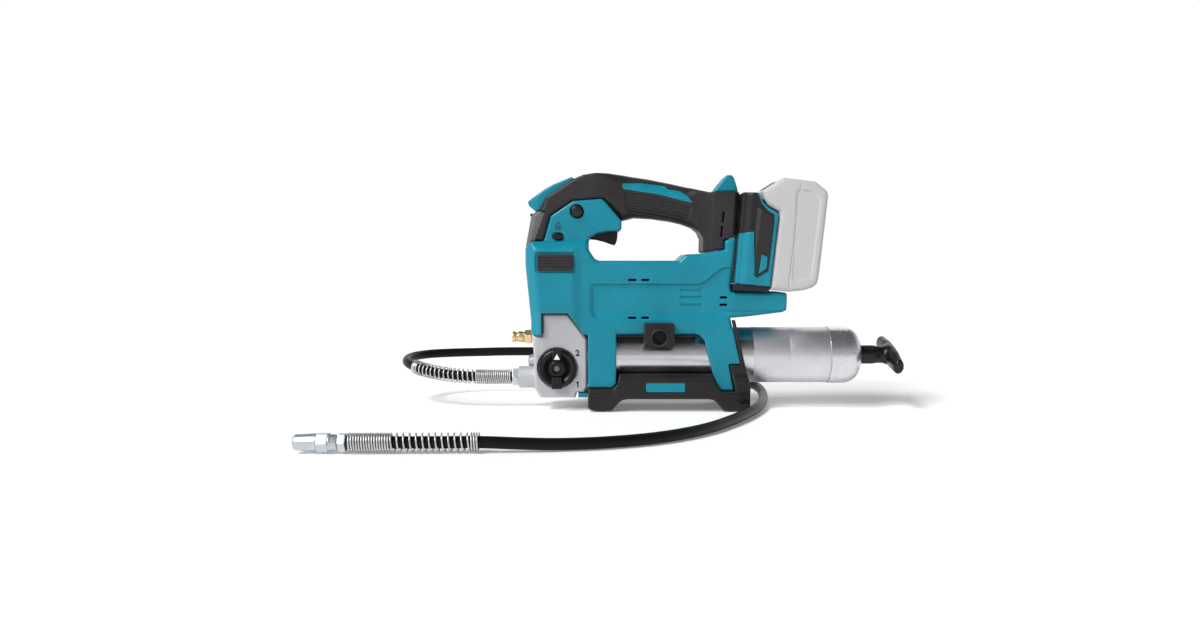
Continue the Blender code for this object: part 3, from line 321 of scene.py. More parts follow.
def settle(field, points, cell, rounds=2):
    """Move points on to the zero level along the field's slope."""
    h = 0.04
    for _ in range(rounds):
        x, y, z = points.T
        here = field(x, y, z)
        slope = np.stack([field(x + h, y, z) - field(x - h, y, z),
                          field(x, y + h, z) - field(x, y - h, z),
                          field(x, y, z + h) - field(x, y, z - h)], axis=1) / (2 * h)
        size = np.maximum((slope ** 2).sum(axis=1), 0.25)
        points = points - np.clip(here / size, -0.5 * cell, 0.5 * cell)[:, None] * slope
    return points


def linked(name, data):
    """A new object in the scene."""
    made = bpy.data.objects.new(name, data)
    bpy.context.scene.collection.objects.link(made)
    return made


def span(sign, inner, outer):
    """The Y range, low first, of a piece on one side."""
    return sorted((sign * inner, sign * outer))


def put(name, points, faces, look, smooth=True):
    """A mesh object from points in millimetres."""
    mesh = bpy.data.meshes.new(name)
    faces = faces.tolist() if isinstance(faces, np.ndarray) else faces
    mesh.from_pydata((np.asarray(points) * MM).tolist(), [], faces)
    mesh.update()
    if smooth:
        mesh.shade_smooth()
    made = linked(name, mesh)
    mesh.materials.append(look)
    return made


def dress(made, body, node=None):
    """Ride a body and stand for its CAD node, which is hidden."""
    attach(made, body)
    for name in [node] if isinstance(node, str) else node or []:
        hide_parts(name)
    return made


def thinned(made, ratio):
    """Fewer triangles where the surface is flat."""
    change = made.modifiers.new("thin", "DECIMATE")
    change.ratio = ratio
    bpy.context.view_layer.update()
    mesh = bpy.data.meshes.new_from_object(
        made.evaluated_get(bpy.context.evaluated_depsgraph_get()))
    made.modifiers.remove(change)
    made.data = mesh


def moulded(name, field, low, high, cell, look, body="tool", node=None, thin=0.5,
            sharp=35):
    """A piece from a distance field."""
    cell *= COARSE
    points, faces = net(field, (np.array(low, float) - 1.7 * cell,
                                np.array(high, float) + 1.7 * cell), cell)
    points = settle(field, points, cell)
    made = put(name, points, faces, look)
    if thin < 1:
        thinned(made, thin)
        made.data.shade_smooth()
    made.data.set_sharp_from_angle(angle=math.radians(sharp))
    return dress(made, body, node)


def turned(name, profile, axis, centre, look, body="tool", node=None, sides=64,
           sharp=28):
    """A profile of (place, radius) turned about an axis; a ring if it starts off the axis."""
    order = {"X": (0, 1, 2), "Y": (1, 2, 0), "Z": (2, 0, 1)}[axis]
    points, faces, rings = [], [], []
    for place, radius in profile:
        ring = []
        for k in range(sides if radius > 1e-6 else 1):
            turn = 2 * math.pi * (k + 0.5) / sides
            point = [0.0, 0.0, 0.0]
            point[order[0]] = place
            point[order[1]] = centre[0] + radius * math.cos(turn)
            point[order[2]] = centre[1] + radius * math.sin(turn)
            ring.append(len(points))
            points.append(point)
        rings.append(ring)
    loops = len(rings) if profile[0][1] > 1e-6 else len(rings) - 1
    for i in range(loops):
        low, high = rings[i], rings[(i + 1) % len(rings)]
        for k in range(sides):
            n = (k + 1) % sides
            corners = [low[k % len(low)], low[n % len(low)], high[n % len(high)],
                       high[k % len(high)]]
            unique = list(dict.fromkeys(corners))
            if len(unique) > 2:
                faces.append(unique)
    made = put(name, points, faces, look)
    bm = bmesh.new()
    bm.from_mesh(made.data)
    bmesh.ops.recalc_face_normals(bm, faces=bm.faces)
    bm.to_mesh(made.data)
    bm.free()
    made.data.set_sharp_from_angle(angle=math.radians(sharp))
    return dress(made, body, node)


def rounded(profile, radius, steps=4):
    """A turned profile with its inner points replaced by arcs."""
    result = [profile[0]]
    for before, here, after in zip(profile, profile[1:], profile[2:]):
        here = Vector(here)
        back, on = Vector(before) - here, Vector(after) - here
        reach = min(radius, back.length / 2.2, on.length / 2.2)
        first, last = here + back.normalized() * reach, here + on.normalized() * reach
        for k in range(steps + 1):
            t = k / steps
            result.append(tuple(first * (1 - t) ** 2 + here * 2 * t * (1 - t) + last * t * t))
    result.append(profile[-1])
    return result


# ======== outlines shared by the pieces, in the XZ plane ========

BODY = [(-76, 165), (-76, 148), (-70.4, 90), (-70.4, 76.3), (110.4, 77.2), (136.0, 77.2),
        (132.4, 94.3), (150.9, 95.8), (185.7, 100.1), (190, 102), (190.5, 120), (133.6, 121),
        (132.8, 128), (137.5, 176.7), (126, 172.7), (126, 163.7), (102.1, 159.4),
        (86.3, 158.8), (79.6, 152.5), (-1, 152.5), (-5.4, 154.5), (-11.8, 163.8),
        (-12.5, 172.0), (-70, 172.0)]
FRONT_LEG = [(-12.3, 84), (-12.3, 23.4), (12.6, 23.4), (16.6, 27.4), (16.6, 84)]
REAR_LEG = [(98, 84), (98, 77.2), (100.7, 77.2), (106.5, 70.9), (116.2, 30.6),
            (122.8, 20.7), (135.9, 20.7), (130.8, 47.2), (142.4, 47.4), (134.6, 84)]
HEAD = [(-57.3, 160), (-57.3, 173), (-50.2, 198.2), (-27.6, 213.4), (1.4, 215.6), (5.3, 212.6),
        (22, 193.1), (22, 184.2), (19, 182.4), (8, 182.2), (-3.6, 179.8), (-10.4, 176),
        (-12.4, 171), (-12.4, 160)]
PUMP = [(-59.1, 98.9), (-59.1, 76.2), (-68.4, 75.9), (-66.8, 22.4), (-61, 12.7),
        (-24.9, 12.7), (-23.3, 18.1), (-16.2, 18.1), (-12.6, 23.2), (-12.9, 72.1),
        (-32.7, 98.9)]
GRIP = [(-76.0, 164.6), (-69.6, 172.4), (-57.7, 172.6), (-50.6, 198.6), (-27.9, 213.8),
        (1.6, 216.0), (5.7, 213), (22.4, 193.6), (35.2, 196.6), (53, 195.6), (71.1, 193.1),
        (84, 190.2), (95, 186.1), (101.5, 181.5), (104.9, 175), (104.6, 160.2),
        (125.6, 164.1), (125.6, 173), (137.4, 177.1), (141.6, 222), (111.4, 221.8),
        (95, 226.8), (75.2, 231.2), (49, 236.4), (23.4, 240.2), (9, 241.6), (-4.5, 241.8),
        (-17, 239.8), (-26.5, 235.8), (-54.6, 217.6), (-61.9, 203.2)]
FRONT_EDGE = ([12.0, 76.0, 90.0, 148.0, 164.0, 203.0, 240.0],
              [-68.4, -70.4, -70.4, -76.0, -76.0, -61.9, -50.0])
BARREL_Z = 54.5
CHANNEL_R = 30.1
DIAL = (-43.5, 43.3)
LOUVRE = 81.4
VENTS = [(LOUVRE, 103.6, 122.6), (LOUVRE, 103.6, 115.2), (LOUVRE, 103.6, 107.5),
         (28.8, 37.1, 132.9), (41.9, 50.0, 132.9), (28.8, 37.1, 94.6), (41.9, 50.0, 94.6),
         (121.4, 129.0, 115.2), (121.4, 129.0, 107.7)]
BUTTON, BOLT = (-23.6, 202.5), (-42.9, 177.1)
SCREWS = [(-64.5, 150.0), (121.0, 141.0)]


def front_chamfer(x, u, z, half, size):
    """The slanting flat between a side face and the front."""
    edge = np.interp(z, *FRONT_EDGE)
    return (edge - x + u - half + size) * DIAGONAL


# ======== the teal housing ========

def logo_panel(x, z):
    """1 inside the recess in the middle of each side, falling to 0 over its borders."""
    top = 127.6 + 17.0 * step(x, 98, 128)
    high = 1 - step(z, top - 0.6, top + 2.0)
    low = step(z, 90.5, 99.5)
    left = step(x - 0.6 * np.clip(100 - z, 0, 12), -11.5, -5.5)
    right = 1 - step(x, 128, 133) * (z < 100.5)
    return high * low * left * right


def housing_field(side):
    def field(x, y, z):
        u = np.abs(y)
        outline = polygon(BODY, x, z, 3.0)
        behind = np.clip((x + 27.6) / 8.0, 0, 1)
        half = 37.0 - 2.2 * behind - 2.4 * logo_panel(x, z) - 1.6 * step(x, 133, 176)
        shell = extrude(outline, u, half, 4.2)
        shell = both(shell, front_chamfer(x, u, z, 37.0, 9.5), 2.2)
        shoulder = (z - 172.0 + u - 37.0 + 8.0) * DIAGONAL
        shell = both(shell, np.where(x < -4, shoulder, -9.0), 2.0)
        head = extrude(polygon(HEAD, x, z, 2.0), u, 24.0, 2.6)
        shell = blend(shell, head, 3.0)
        shell = less(shell, shell + 2.6)
        for leg in (FRONT_LEG, REAR_LEG):
            plate = extrude(polygon(leg, x, z, 1.5), np.abs(u - 32.6), 2.4, 1.4)
            shell = blend(shell, plate, 1.5)
        trough = CHANNEL_R - np.hypot(u, z - BARREL_Z)
        shell = both(shell, np.where(z < 130, trough, -9.0))
        shell = less(shell, polygon(PUMP, x, z) - 0.3, 0.35)
        pocket = extrude(polygon([(-65.2, 140.2), (-25.0, 140.2), (-25.0, 160.6),
                                  (-65.2, 160.6)], x, z, 2.5), np.abs(u - 38.5), 3.0, 0.8)
        shell = less(shell, pocket, 0.9)
        for x0, x1, level in VENTS:
            floor = 31.3 if x0 == LOUVRE else 25.0
            shell = less(shell, block(x, u, z, (x0, floor, level - 1.1),
                                      (x1, 40, level + 1.1), 0.4))
        trigger_slot = block(x, u, z, (-11.6, -8, 160), (19.0, 7.6, 190))
        shell = less(shell, trigger_slot)
        pill = np.hypot(np.maximum(np.abs(x - BOLT[0]) - 1.65, 0), z - BOLT[1]) - 4.1
        shell = less(shell, np.maximum(pill, 22.6 - u), 0.4)
        shell = less(shell, np.maximum(pill + 0.6, 8 - u))
        if side == "left":
            shell = less(shell, np.maximum(disc(x, z, BUTTON, 7.3), 22.4 - u), 0.4)
            shell = less(shell, np.maximum(disc(x, z, BUTTON, 6.75), 8 - u))
        else:
            for place in SCREWS:
                shell = less(shell, np.maximum(disc(x, z, place, 3.9), 23 - u), 0.4)
        return np.maximum(shell, 0.08 - (u if side == "right" else -y))
    return field


def housings():
    for side, sign in SIDES:
        ends = span(sign, -0.5, 38)
        moulded("housing_shell_" + side, housing_field(side), (-76, ends[0], 20),
                (191, ends[1], 216), 0.85, TEAL,
                node="housing_" + side, thin=0.35)
    # Dark plates just inside the vent slots: painted shade standing in for the dark interior seen
    # through the vents.
    for side, sign in SIDES:
        def shade_behind_vents(x, y, z, sign=sign):
            return block(x, y * sign, z, (22, 28.9, 90), (131, 29.7, 137))
        ends = span(sign, 28.5, 30.1)
        moulded("vent_shade_plate_" + side, shade_behind_vents, (21, ends[0], 89), (132, ends[1], 138), 0.9, DARK,
                thin=0.2)
    def window_shade(x, y, z):
        """A dark plate along the top of the barrel window: painted shade where the housing shadows
        the barrel.
        """
        u = np.abs(y)
        plate = block(x, u, z, (17.2, 0, 75.2), (97.5, 34.6, 76.9), 0.3)
        return np.maximum(plate, 29.5 - np.hypot(u, z - BARREL_Z))
    moulded("window_shade_plate", window_shade, (17, -35, 75), (98, 35, 77.2), 0.6, DARK,
            thin=0.3)

    def toe(x, y, z):
        return block(x, y, z, (-22.3, -29.5, 12.9), (-12.7, 29.5, 17.5), 0.8)
    moulded("front_toe", toe, (-23, -30, 12), (-12, 30, 18), 0.7, TEAL,
            thin=0.3)
    padlock()


def padlock():
    """A plain padlock symbol above the lock-off bolt."""
    y = -24.05
    x, z = -42.9, 187.4

    def body(a, b, c):
        return block(a, b, c, (x - 2.9, y - 0.25, z - 3.6), (x + 2.9, y + 0.4, z + 0.9), 0.2)
    moulded("lock_symbol_body", body, (x - 3.5, y - 0.6, z - 4.2), (x + 3.5, y + 0.8, z + 1.5),
            0.3, TEAL_DARK, thin=0.4)
    arch = [(2.0 * math.cos(t), 1.0 + 3.4 * math.sin(t))
            for t in [math.pi * k / 12 for k in range(13)]]
    wire("lock_symbol_arch", [Vector((x + a, y, z + b)) for a, b in arch], 0.5, TEAL_DARK)


def wire(name, path, radius, look, body="tool", node=None,
         smoothness=2):
    """A curve object with a round section along points in millimetres."""
    curve = bpy.data.curves.new(name, "CURVE")
    curve.dimensions = "3D"
    curve.bevel_depth = radius * MM
    curve.bevel_resolution = smoothness
    curve.use_fill_caps = True
    spline = curve.splines.new("POLY")
    spline.points.add(len(path) - 1)
    for point, place in zip(spline.points, path):
        point.co = (*(place * MM), 1.0)
    spline.use_smooth = True
    curve.materials.append(look)
    made = linked(name, curve)
    return dress(made, body, node)


# ======== the grip, nose and strap loops ========

STRIPE = [(23.0, 231.2), (23.0, 225.6), (60, 220.0), (94.6, 211.4), (89.1, 219), (81.7, 223.4),
          (69.5, 225.4), (66.4, 228.6), (42.4, 231.6)]
RIBBED = [(24.5, 223.4), (60, 217.6), (93.8, 209.0), (91.5, 196.0), (86.0, 191.5), (60, 196.8),
          (30.5, 199.0), (25.5, 206)]


HOOD_EDGE = ([164.6, 172.0, 198.0, 202.8], [-76.0, -75.4, -70.6, -66.0])
HOOD = [(-76.0, 164.6), (-75.4, 172.0), (-70.6, 198.0), (-66.0, 202.8), (-52.6, 202.8),
        (-60.6, 172.8), (-69.6, 172.4)]


def grip_field(x, y, z):
    u = np.abs(y)
    lean = 0.05 * (z - 180)
    back = np.clip((x - lean - 99.5) / 13.0, 0, 1)
    taper = step(x, -8, 36)
    half = 24.5 - 6.5 * taper + 15.0 * back
    edge = 3.2 + 9.8 * taper * (1 - step(x, 88, 104))
    solid = extrude(polygon(GRIP, x, z, 2.5), u, half, edge)
    solid = both(solid, np.where(z < 215, front_chamfer(x, u, z, 24.5, 4.0), -9.0), 1.5)
    rear = (x - 140.5 - lean + u - 33.0 + 6.5) * DIAGONAL
    solid = both(solid, np.where(x > 100, rear, -9.0), 0.8)
    ribs = polygon(RIBBED, x, z, 2.0)
    lift = z + 0.18 * (x - 60) + 0.0016 * (x - 60) ** 2
    groove = 0.8 + 0.6 * np.cos(lift * 2 * math.pi / 3.1)
    solid = solid + np.where(ribs < 0, np.clip(-ribs, 0, 0.7) * groove, 0)
    for low, high in ((191.0, 202.0), (176.5, 187.5)):
        slot = block(x - 0.1 * (z - 190), u, z, (122.4, 26, low), (124.8, 40, high), 0.4)
        solid = less(solid, slot)
    return solid


def nose_field(x, y, z):
    """The strip between the two grip halves at the front, with its lamp recess."""
    u = np.abs(y)
    solid = extrude(polygon(HOOD, x, z, 1.0), u, 20.0, 1.6)
    edge = np.interp(z, *HOOD_EDGE)
    solid = both(solid, (edge - x + u - 20.0 + 4.0) * DIAGONAL, 1.0)
    return less(solid, block(x, u, z, (-80, -12, 181.2), (-63.2, 9.6, 197.4), 0.8), 0.5)


def brow_field(x, y, z):
    """The dark ridge over the lamp."""
    return extrude(np.hypot(x + 70.3, z - 199.3) - 1.7, np.abs(y), 13.0, 0.8)


def grips():
    for side, sign in SIDES:
        ends = span(sign, -0.5, 34)

        def half(x, y, z, sign=sign):
            u = y * sign
            solid = grip_field(x, y, z)
            front = x - np.interp(z, *FRONT_EDGE) - 6.0
            nose = np.maximum(np.maximum(u - 20.4, z - 203.2), x + 51.6 - 0.3 * (z - 172.8))
            solid = less(solid, np.minimum(nose, np.maximum(front, z - 203.2)), 0.4)
            solid = less(solid, solid + 4.0)
            stripe = np.maximum(polygon(STRIPE, x, z, 1.2) - 0.25, 4 - u)
            solid = less(solid, np.maximum(stripe, -(grip_field(x, y, z) + 1.2)))
            return np.maximum(solid, 0.08 - u)

        def inlay(x, y, z, sign=sign):
            u = y * sign
            skin = grip_field(x, y, z)
            return np.maximum(both(skin - 0.25, polygon(STRIPE, x, z, 1.2), 0.5),
                              np.maximum(-(skin + 1.0), 4 - u))
        moulded("grip_cover_" + side, half, (-77, ends[0], 159), (142, ends[1], 243), 0.6,
                ELASTOMER, node="grip_" + side)
        moulded("grip_stripe_" + side, inlay, (20, ends[0], 208), (97, ends[1], 233), 0.5, TEAL)
    moulded("nose_panel", nose_field, (-77, -21, 163), (-50, 21, 204), 0.6, NOSE,
            node="front_panel")
    moulded("lamp_brow", brow_field, (-73, -14, 197), (-68, 14, 202), 0.4, BLACK)

    def lens(x, y, z):
        front = (np.interp(z, *FRONT_EDGE) - x + 0.6) * 0.93
        return both(block(x, y, z, (-75, -8.6, 182.9), (-63.3, 8.6, 196.3), 1.5), front, 1.0)
    moulded("work_lamp", lens, (-76, -9, 182), (-62, 9, 197), 0.5, LENS, node="lamp_lens", thin=0.6)


def strap_loops():
    fin = [(-74.4, 213.2), (-73.2, 208.6), (-66.4, 203.2), (-61.6, 203.6), (-55.6, 213.5),
           (-27.0, 232.5), (-26.4, 236.6), (-29.5, 238.2), (-48.6, 230.3), (-58.0, 225.0)]
    slope = math.atan2(26.1, 46.4) + math.radians(8)

    def front(x, y, z):
        solid = extrude(polygon(fin, x, z, 1.0), np.abs(y), 16.0 - 3.0 * step(x, -62, -76), 2.2)
        along = (x + 62.6) * math.cos(slope) + (z - 213.0) * math.sin(slope)
        return less(solid, np.maximum(np.abs(along) - 3.0, np.abs(y) - 9.0), 0.8)
    moulded("front_strap_fin", front, (-76, -17, 202), (-26, 17, 240), 0.6, TEAL,
            node="front_strap_loop")
    peak = [(115.0, 222.3), (141.8, 222.5), (140.2, 229), (137.6, 237.0), (135.0, 240.2),
            (130.4, 240.2), (127.4, 238.0), (118.4, 226.4)]

    def rear(x, y, z):
        solid = extrude(polygon(peak, x, z, 1.2), np.abs(y), 16.0, 2.6)
        return less(solid, np.maximum(np.abs(z - 228.5) - 3.0, np.abs(y) - 9.0), 0.8)
    moulded("rear_strap_fin", rear, (111, -17, 222), (143, 17, 241), 0.6, TEAL,
            node="rear_strap_loop")


def side_pads():
    for side, sign in SIDES:
        def pad(x, y, z, sign=sign):
            u = y * sign
            face = 38.6 + 0.45 * np.cos((z - 150.4) * 2 * math.pi / 3.1)
            return extrude(polygon([(-63.2, 142.1), (-27.1, 142.1), (-27.1, 158.7),
                                    (-63.2, 158.7)], x, z, 1.4),
                           np.abs(u - 36.0), face - 36.0, 0.5)
        ends = span(sign, 33, 40)
        moulded("ridged_pad_" + side, pad, (-64, ends[0], 141), (-26, ends[1], 160), 0.45, ELASTOMER,
                node="side_pad_" + side, thin=0.6)


# ======== the base ========

BASE = [(-12.2, 23.0), (-12.2, 3.5), (-9, 1.4), (-3.5, 0.6), (-3.5, 0.05), (6, 0.05), (6, 0.6),
        (12, 0.6), (18.8, 9.0), (22.5, 11.6), (28, 12.6), (110.5, 12.6), (115, 11.4),
        (118.5, 8.6), (125, 0.6), (129, 0.6), (129, 0.05), (146, 0.05), (150.4, 2.5),
        (152.2, 8.0), (152.6, 24.6), (136.8, 92.4), (133.4, 92.4), (136.0, 80),
        (143.3, 46.7), (131.6, 46.2), (136.7, 20.1), (122.4, 20.1), (115.5, 30.8),
        (114.3, 37.3), (19.6, 37.3),
        (17.2, 27.2), (12.9, 23.0)]
INSET = [(46.4, 19.8), (86.0, 19.8), (86.0, 29.0), (46.4, 29.0)]


def base_field(x, y, z):
    u = np.abs(y)
    half = 42.0 - 1.0 * step(z, 30.6, 31.4) - 3.0 * step(z, 33.2, 37.0)
    half = half - 3.6 * step(x, 137, 152) * (z > 8) - 2.2 * step(z, 46, 50)
    ribs = 0.6 * step(np.cos(z * 2 * math.pi / 2.6), -0.2, 0.5)
    foot = ((x < 14) | (x > 126)) & (z > 2.5) & (z < 19)
    half = half - np.where(foot, ribs, 0)
    half = half + 0.8 * np.clip((17.0 - z) / 3.0, 0, 1) * ((x < 16) | (x > 124))
    half = half - 2.6 * np.clip((z - 17.0) / 6.0, 0, 1) * (x < 15)
    solid = extrude(polygon(BASE, x, z, 0.8), u, np.minimum(half, 42.0), 1.4)
    channel = np.hypot(u, z - BARREL_Z) - CHANNEL_R
    above = np.maximum(u - CHANNEL_R, BARREL_Z - z)
    solid = less(solid, np.minimum(channel, above), 0.8)
    return less(solid, np.maximum(polygon(INSET, x, z, 2.2) - 0.5, 40.4 - u), 0.3)


def base():
    moulded("base_cradle", base_field, (-13, -42.5, 0), (153, 42.5, 93), 0.8, BLACK,
            node="base_frame", thin=0.4)
    for side, sign in SIDES:
        def inlay(x, y, z, sign=sign):
            return extrude(polygon(INSET, x, z, 2.2), np.abs(y * sign - 40.4), 1.8, 0.6)
        ends = span(sign, 38.0, 42.6)
        moulded("base_badge_" + side, inlay, (46, ends[0], 19), (87, ends[1], 30), 0.5, TEAL,
                node="base_inset_" + side, thin=0.6)


def coupler_socket():
    outline = [(43.9, 66.5), (46.0, 64.7), (72.6, 64.7), (74.7, 66.5), (74.7, 88.2),
               (73.2, 89.6), (45.4, 89.6), (43.9, 88.2)]

    def field(x, y, z):
        u = -y
        solid = extrude(polygon(outline, x, z, 0.8), np.abs(u - 44.15), 6.8, 1.2)
        face = u - 50.9 + 0.42 * np.maximum(z - 79.5, 0) + 0.9 * np.maximum(69.5 - z, 0)
        solid = both(solid, face * 0.85, 0.8)
        ring = np.maximum(np.abs(disc(x, z, (59.3, 75.4), 8.0)) - 0.6, u - 51.3)
        solid = np.minimum(solid, np.maximum(ring, 44 - u))
        return less(solid, np.maximum(disc(x, z, (59.3, 75.4), 7.2), 39.5 - u), 0.4)
    # A dark disc at the bottom of the socket's hole: painted shade in the recess.
    turned("socket_hole_shade", [(-40.2, 0), (-40.2, 7.2), (-39.8, 7.2), (-39.8, 0)], "Y",
           (75.4, 59.3), DARK, sides=32)
    moulded("parking_socket", field, (43, -52, 64), (76, -37, 91), 0.5, BLACK,
            node="coupler_holder")


# ======== the battery and its mount ========

TILT = math.radians(6.4)
MOUNT = [(143.8, 221.1), (136.0, 129.1), (171.7, 126.1), (179.8, 198.4), (177.5, 201.6),
         (169.5, 205.6), (163.5, 212.0), (159.9, 220.6)]
MOUNT_DARK = [(142.5, 223), (158.4, 223), (158.4, 219), (162.3, 209.6), (168.2, 202.4),
              (175.2, 198.0), (174.9, 194.5), (168.9, 142.2), (156.3, 135.8), (155.1, 182.2),
              (139.5, 179.8)]
CHEVRON = [(157.8, 206.4), (174.9, 194.6), (168.7, 142.4), (156.4, 136.0), (155.2, 182.1)]


def rail_space(x, u, z, margin):
    """The room for the battery rail, behind the leaning face of the mount."""
    across = (x - 158.4) * math.cos(TILT) - (z - 128.0) * math.sin(TILT)
    return np.maximum(u - 29.0 - margin, -across - margin)


def mount_field(x, y, z):
    u = np.abs(y)
    half = 38.0 - 2.2 * (1 - step(x - 0.085 * (z - 128), 139, 147))
    solid = extrude(polygon(MOUNT, x, z, 1.5), u, half, 2.4)
    return less(solid, rail_space(x, u, z, 0.4))


def battery_mount():
    def dark(x, y, z):
        return np.maximum(mount_field(x, y, z) - 0.15, polygon(MOUNT_DARK, x, z, 0.6))

    def light(x, y, z):
        return less(mount_field(x, y, z), polygon(MOUNT_DARK, x, z, 0.6) - 0.3, 0.3)
    moulded("mount_dark", dark, (136, -39, 126), (181, 39, 222), 0.75, BLACK,
            node="battery_mount", thin=0.4)
    moulded("mount_teal", light, (136, -39, 125), (181, 39, 222), 0.75, TEAL,
            node="battery_mount", thin=0.4)
    # A dark strip under the mount: painted shade in the gap between the mount and the housing.
    gap_outline = [(134.0, 121.9), (171.0, 121.4), (171.0, 125.7), (136.4, 128.6), (134.2, 128.6)]

    def strip(x, y, z):
        return extrude(polygon(gap_outline, x, z, 0.5), np.abs(y), 36.0, 0.5)
    moulded("mount_gap_shade", strip, (133, -37, 121), (172, 37, 129), 0.7, DARK)
    badge = [(162.2, 158.6), (168.3, 156.2), (167.4, 144.6), (159.4, 139.0)]
    for side, sign in SIDES:
        def bumper(x, y, z, sign=sign):
            u = y * sign
            flat = polygon(CHEVRON, x, z, 0.8)
            ridge = 162.6 - 0.12 * (206 - z)
            rise = 40.6 - 0.10 * np.abs(x - ridge) - 2.0 * step(-x, -ridge, -ridge + 5.5)
            solid = extrude(flat, np.abs(u - 36.0), rise - 36.0, 0.9)
            return less(solid, np.maximum(polygon(badge, x, z, 0.5) - 0.4, 39.2 - u))

        def tile(x, y, z, sign=sign):
            return extrude(polygon(badge, x, z, 0.5), np.abs(y * sign - 38.6), 1.5, 0.5)
        ends = span(sign, 36.6, 41.4)
        moulded("bumper_" + side, bumper, (154, ends[0], 135), (176, ends[1], 207), 0.5,
                ELASTOMER, node="mount_bumper_" + side)
        moulded("bumper_tile_" + side, tile, (158, ends[0], 138), (170, ends[1], 160), 0.4,
                TEAL, thin=0.6)


BATTERY = [(171.9, 122.8), (191.4, 120.9), (206, 122.4), (215.5, 125.4), (219.6, 129.6),
           (221.2, 135.5), (230, 217.4), (228.6, 222.6), (216.8, 232.0), (184.7, 236),
           (163.5, 222.6), (165.0, 214.5), (169.5, 207.8), (180.5, 201.5), (180.5, 199.2)]


def battery_field(x, y, z):
    u = np.abs(y)
    solid = extrude(polygon(BATTERY, x, z, 1.5), u, 37.0, 4.6)
    panel = extrude(polygon([(193.6, 131.5), (213, 134.5), (221.8, 213.5), (213.5, 222.2),
                             (197.6, 223.0)], x, z, 3.0), np.abs(u - 40.0), 3.8, 0.8)
    solid = less(solid, panel, 0.8)
    groove = np.abs(x - 0.112 * (z - 128) - 190.6) - 0.5
    solid = less(solid, np.maximum(groove, 36.2 - u), 0.3)
    direction = Vector((21.2, 13.4)).normalized()
    along = (x - 163.5) * direction.x + (z - 222.6) * direction.y
    out = -(x - 163.5) * direction.y + (z - 222.6) * direction.x
    well = np.maximum(np.maximum(np.abs(along - 12.5) - 6.9, u - 12.4), -15.4 - out)
    return less(solid, well, 0.5)


def battery():
    def case(x, y, z):
        solid = battery_field(x, y, z)
        vent = block(x, np.abs(y), z, (165, -20, 150), (190, 20, 170))
        return less(less(solid, solid + 3.2), vent)
    moulded("battery_shell", case, (163, -37.5, 120), (231, 37.5, 237), 0.95, GHOST,
            body="battery", node="battery_case", thin=0.4)


# ======== the pump head and what is on it ========

def pump():
    def head(x, y, z):
        u = np.abs(y)
        solid = extrude(polygon(PUMP, x, z, 0.9), u, 30.0, 1.2)
        bevel = (polygon(PUMP, x, z) + u - 30.0 + 2.0) * DIAGONAL
        solid = both(solid, bevel, 0.25)
        boss = np.maximum(np.hypot(y, z - 31.0) - 11.35, np.maximum(-84.8 - x, x + 60))
        solid = blend(solid, boss, 1.6)
        ring = np.maximum(np.abs(np.hypot(y, z - BARREL_Z) - 25.4) - 1.5,
                          np.maximum(-22 - x, x + 2.2))
        solid = np.minimum(solid, ring)
        for bore in (np.maximum(np.hypot(x + 45, y) - 4.4, 26 - z),
                     np.maximum(np.hypot(y, z - BARREL_Z) - 5.0, -45 - x),
                     np.maximum(np.hypot(y, z - 31.0) - 4.2, x + 60),
                     np.maximum(np.hypot(x - DIAL[0], z - DIAL[1]) - 5.4, y - 8)):
            solid = less(solid, bore)
        hollow = np.maximum(disc(x, z, DIAL, 20.4), -29.4 - y) + 90 * (y > -20)
        return less(solid, hollow, 0.3)
    moulded("pump_casting", head, (-86, -31, 12), (-2, 31, 100), 0.7, CAST,
            node="pump_head", thin=0.45)
    text = bpy.data.curves.new("dial_number_2", "FONT")
    text.body = "2"
    text.size = 8.6 * MM
    text.extrude = 0.12 * MM
    text.align_x = "CENTER"
    text.align_y = "CENTER"
    text.offset = 0.3 * MM
    text.materials.append(DARK)
    made = linked("dial_number_2", text)
    made.location = Vector((-22.9, -30.08, 58.2)) * MM
    made.rotation_euler = (math.pi / 2, 0, 0)
    dress(made, "tool")
    one = [(0.8, -2.9), (0.8, 2.9), (-0.2, 2.9), (-1.7, 2.0), (-1.7, 0.9), (-0.6, 1.3),
           (-0.6, -2.9)]
    front = [(a - 22.6, -30.2, b + 26.4) for a, b in one]
    back = [(a, -29.8, c) for a, _, c in front]
    count = len(one)
    sides = [(k, k + count, (k + 1) % count + count, (k + 1) % count) for k in range(count)]
    mark = put("dial_number_1", front + back,
               [tuple(range(count)), tuple(range(2 * count - 1, count - 1, -1))] + sides, DARK,
               smooth=False)
    dress(mark, "tool")


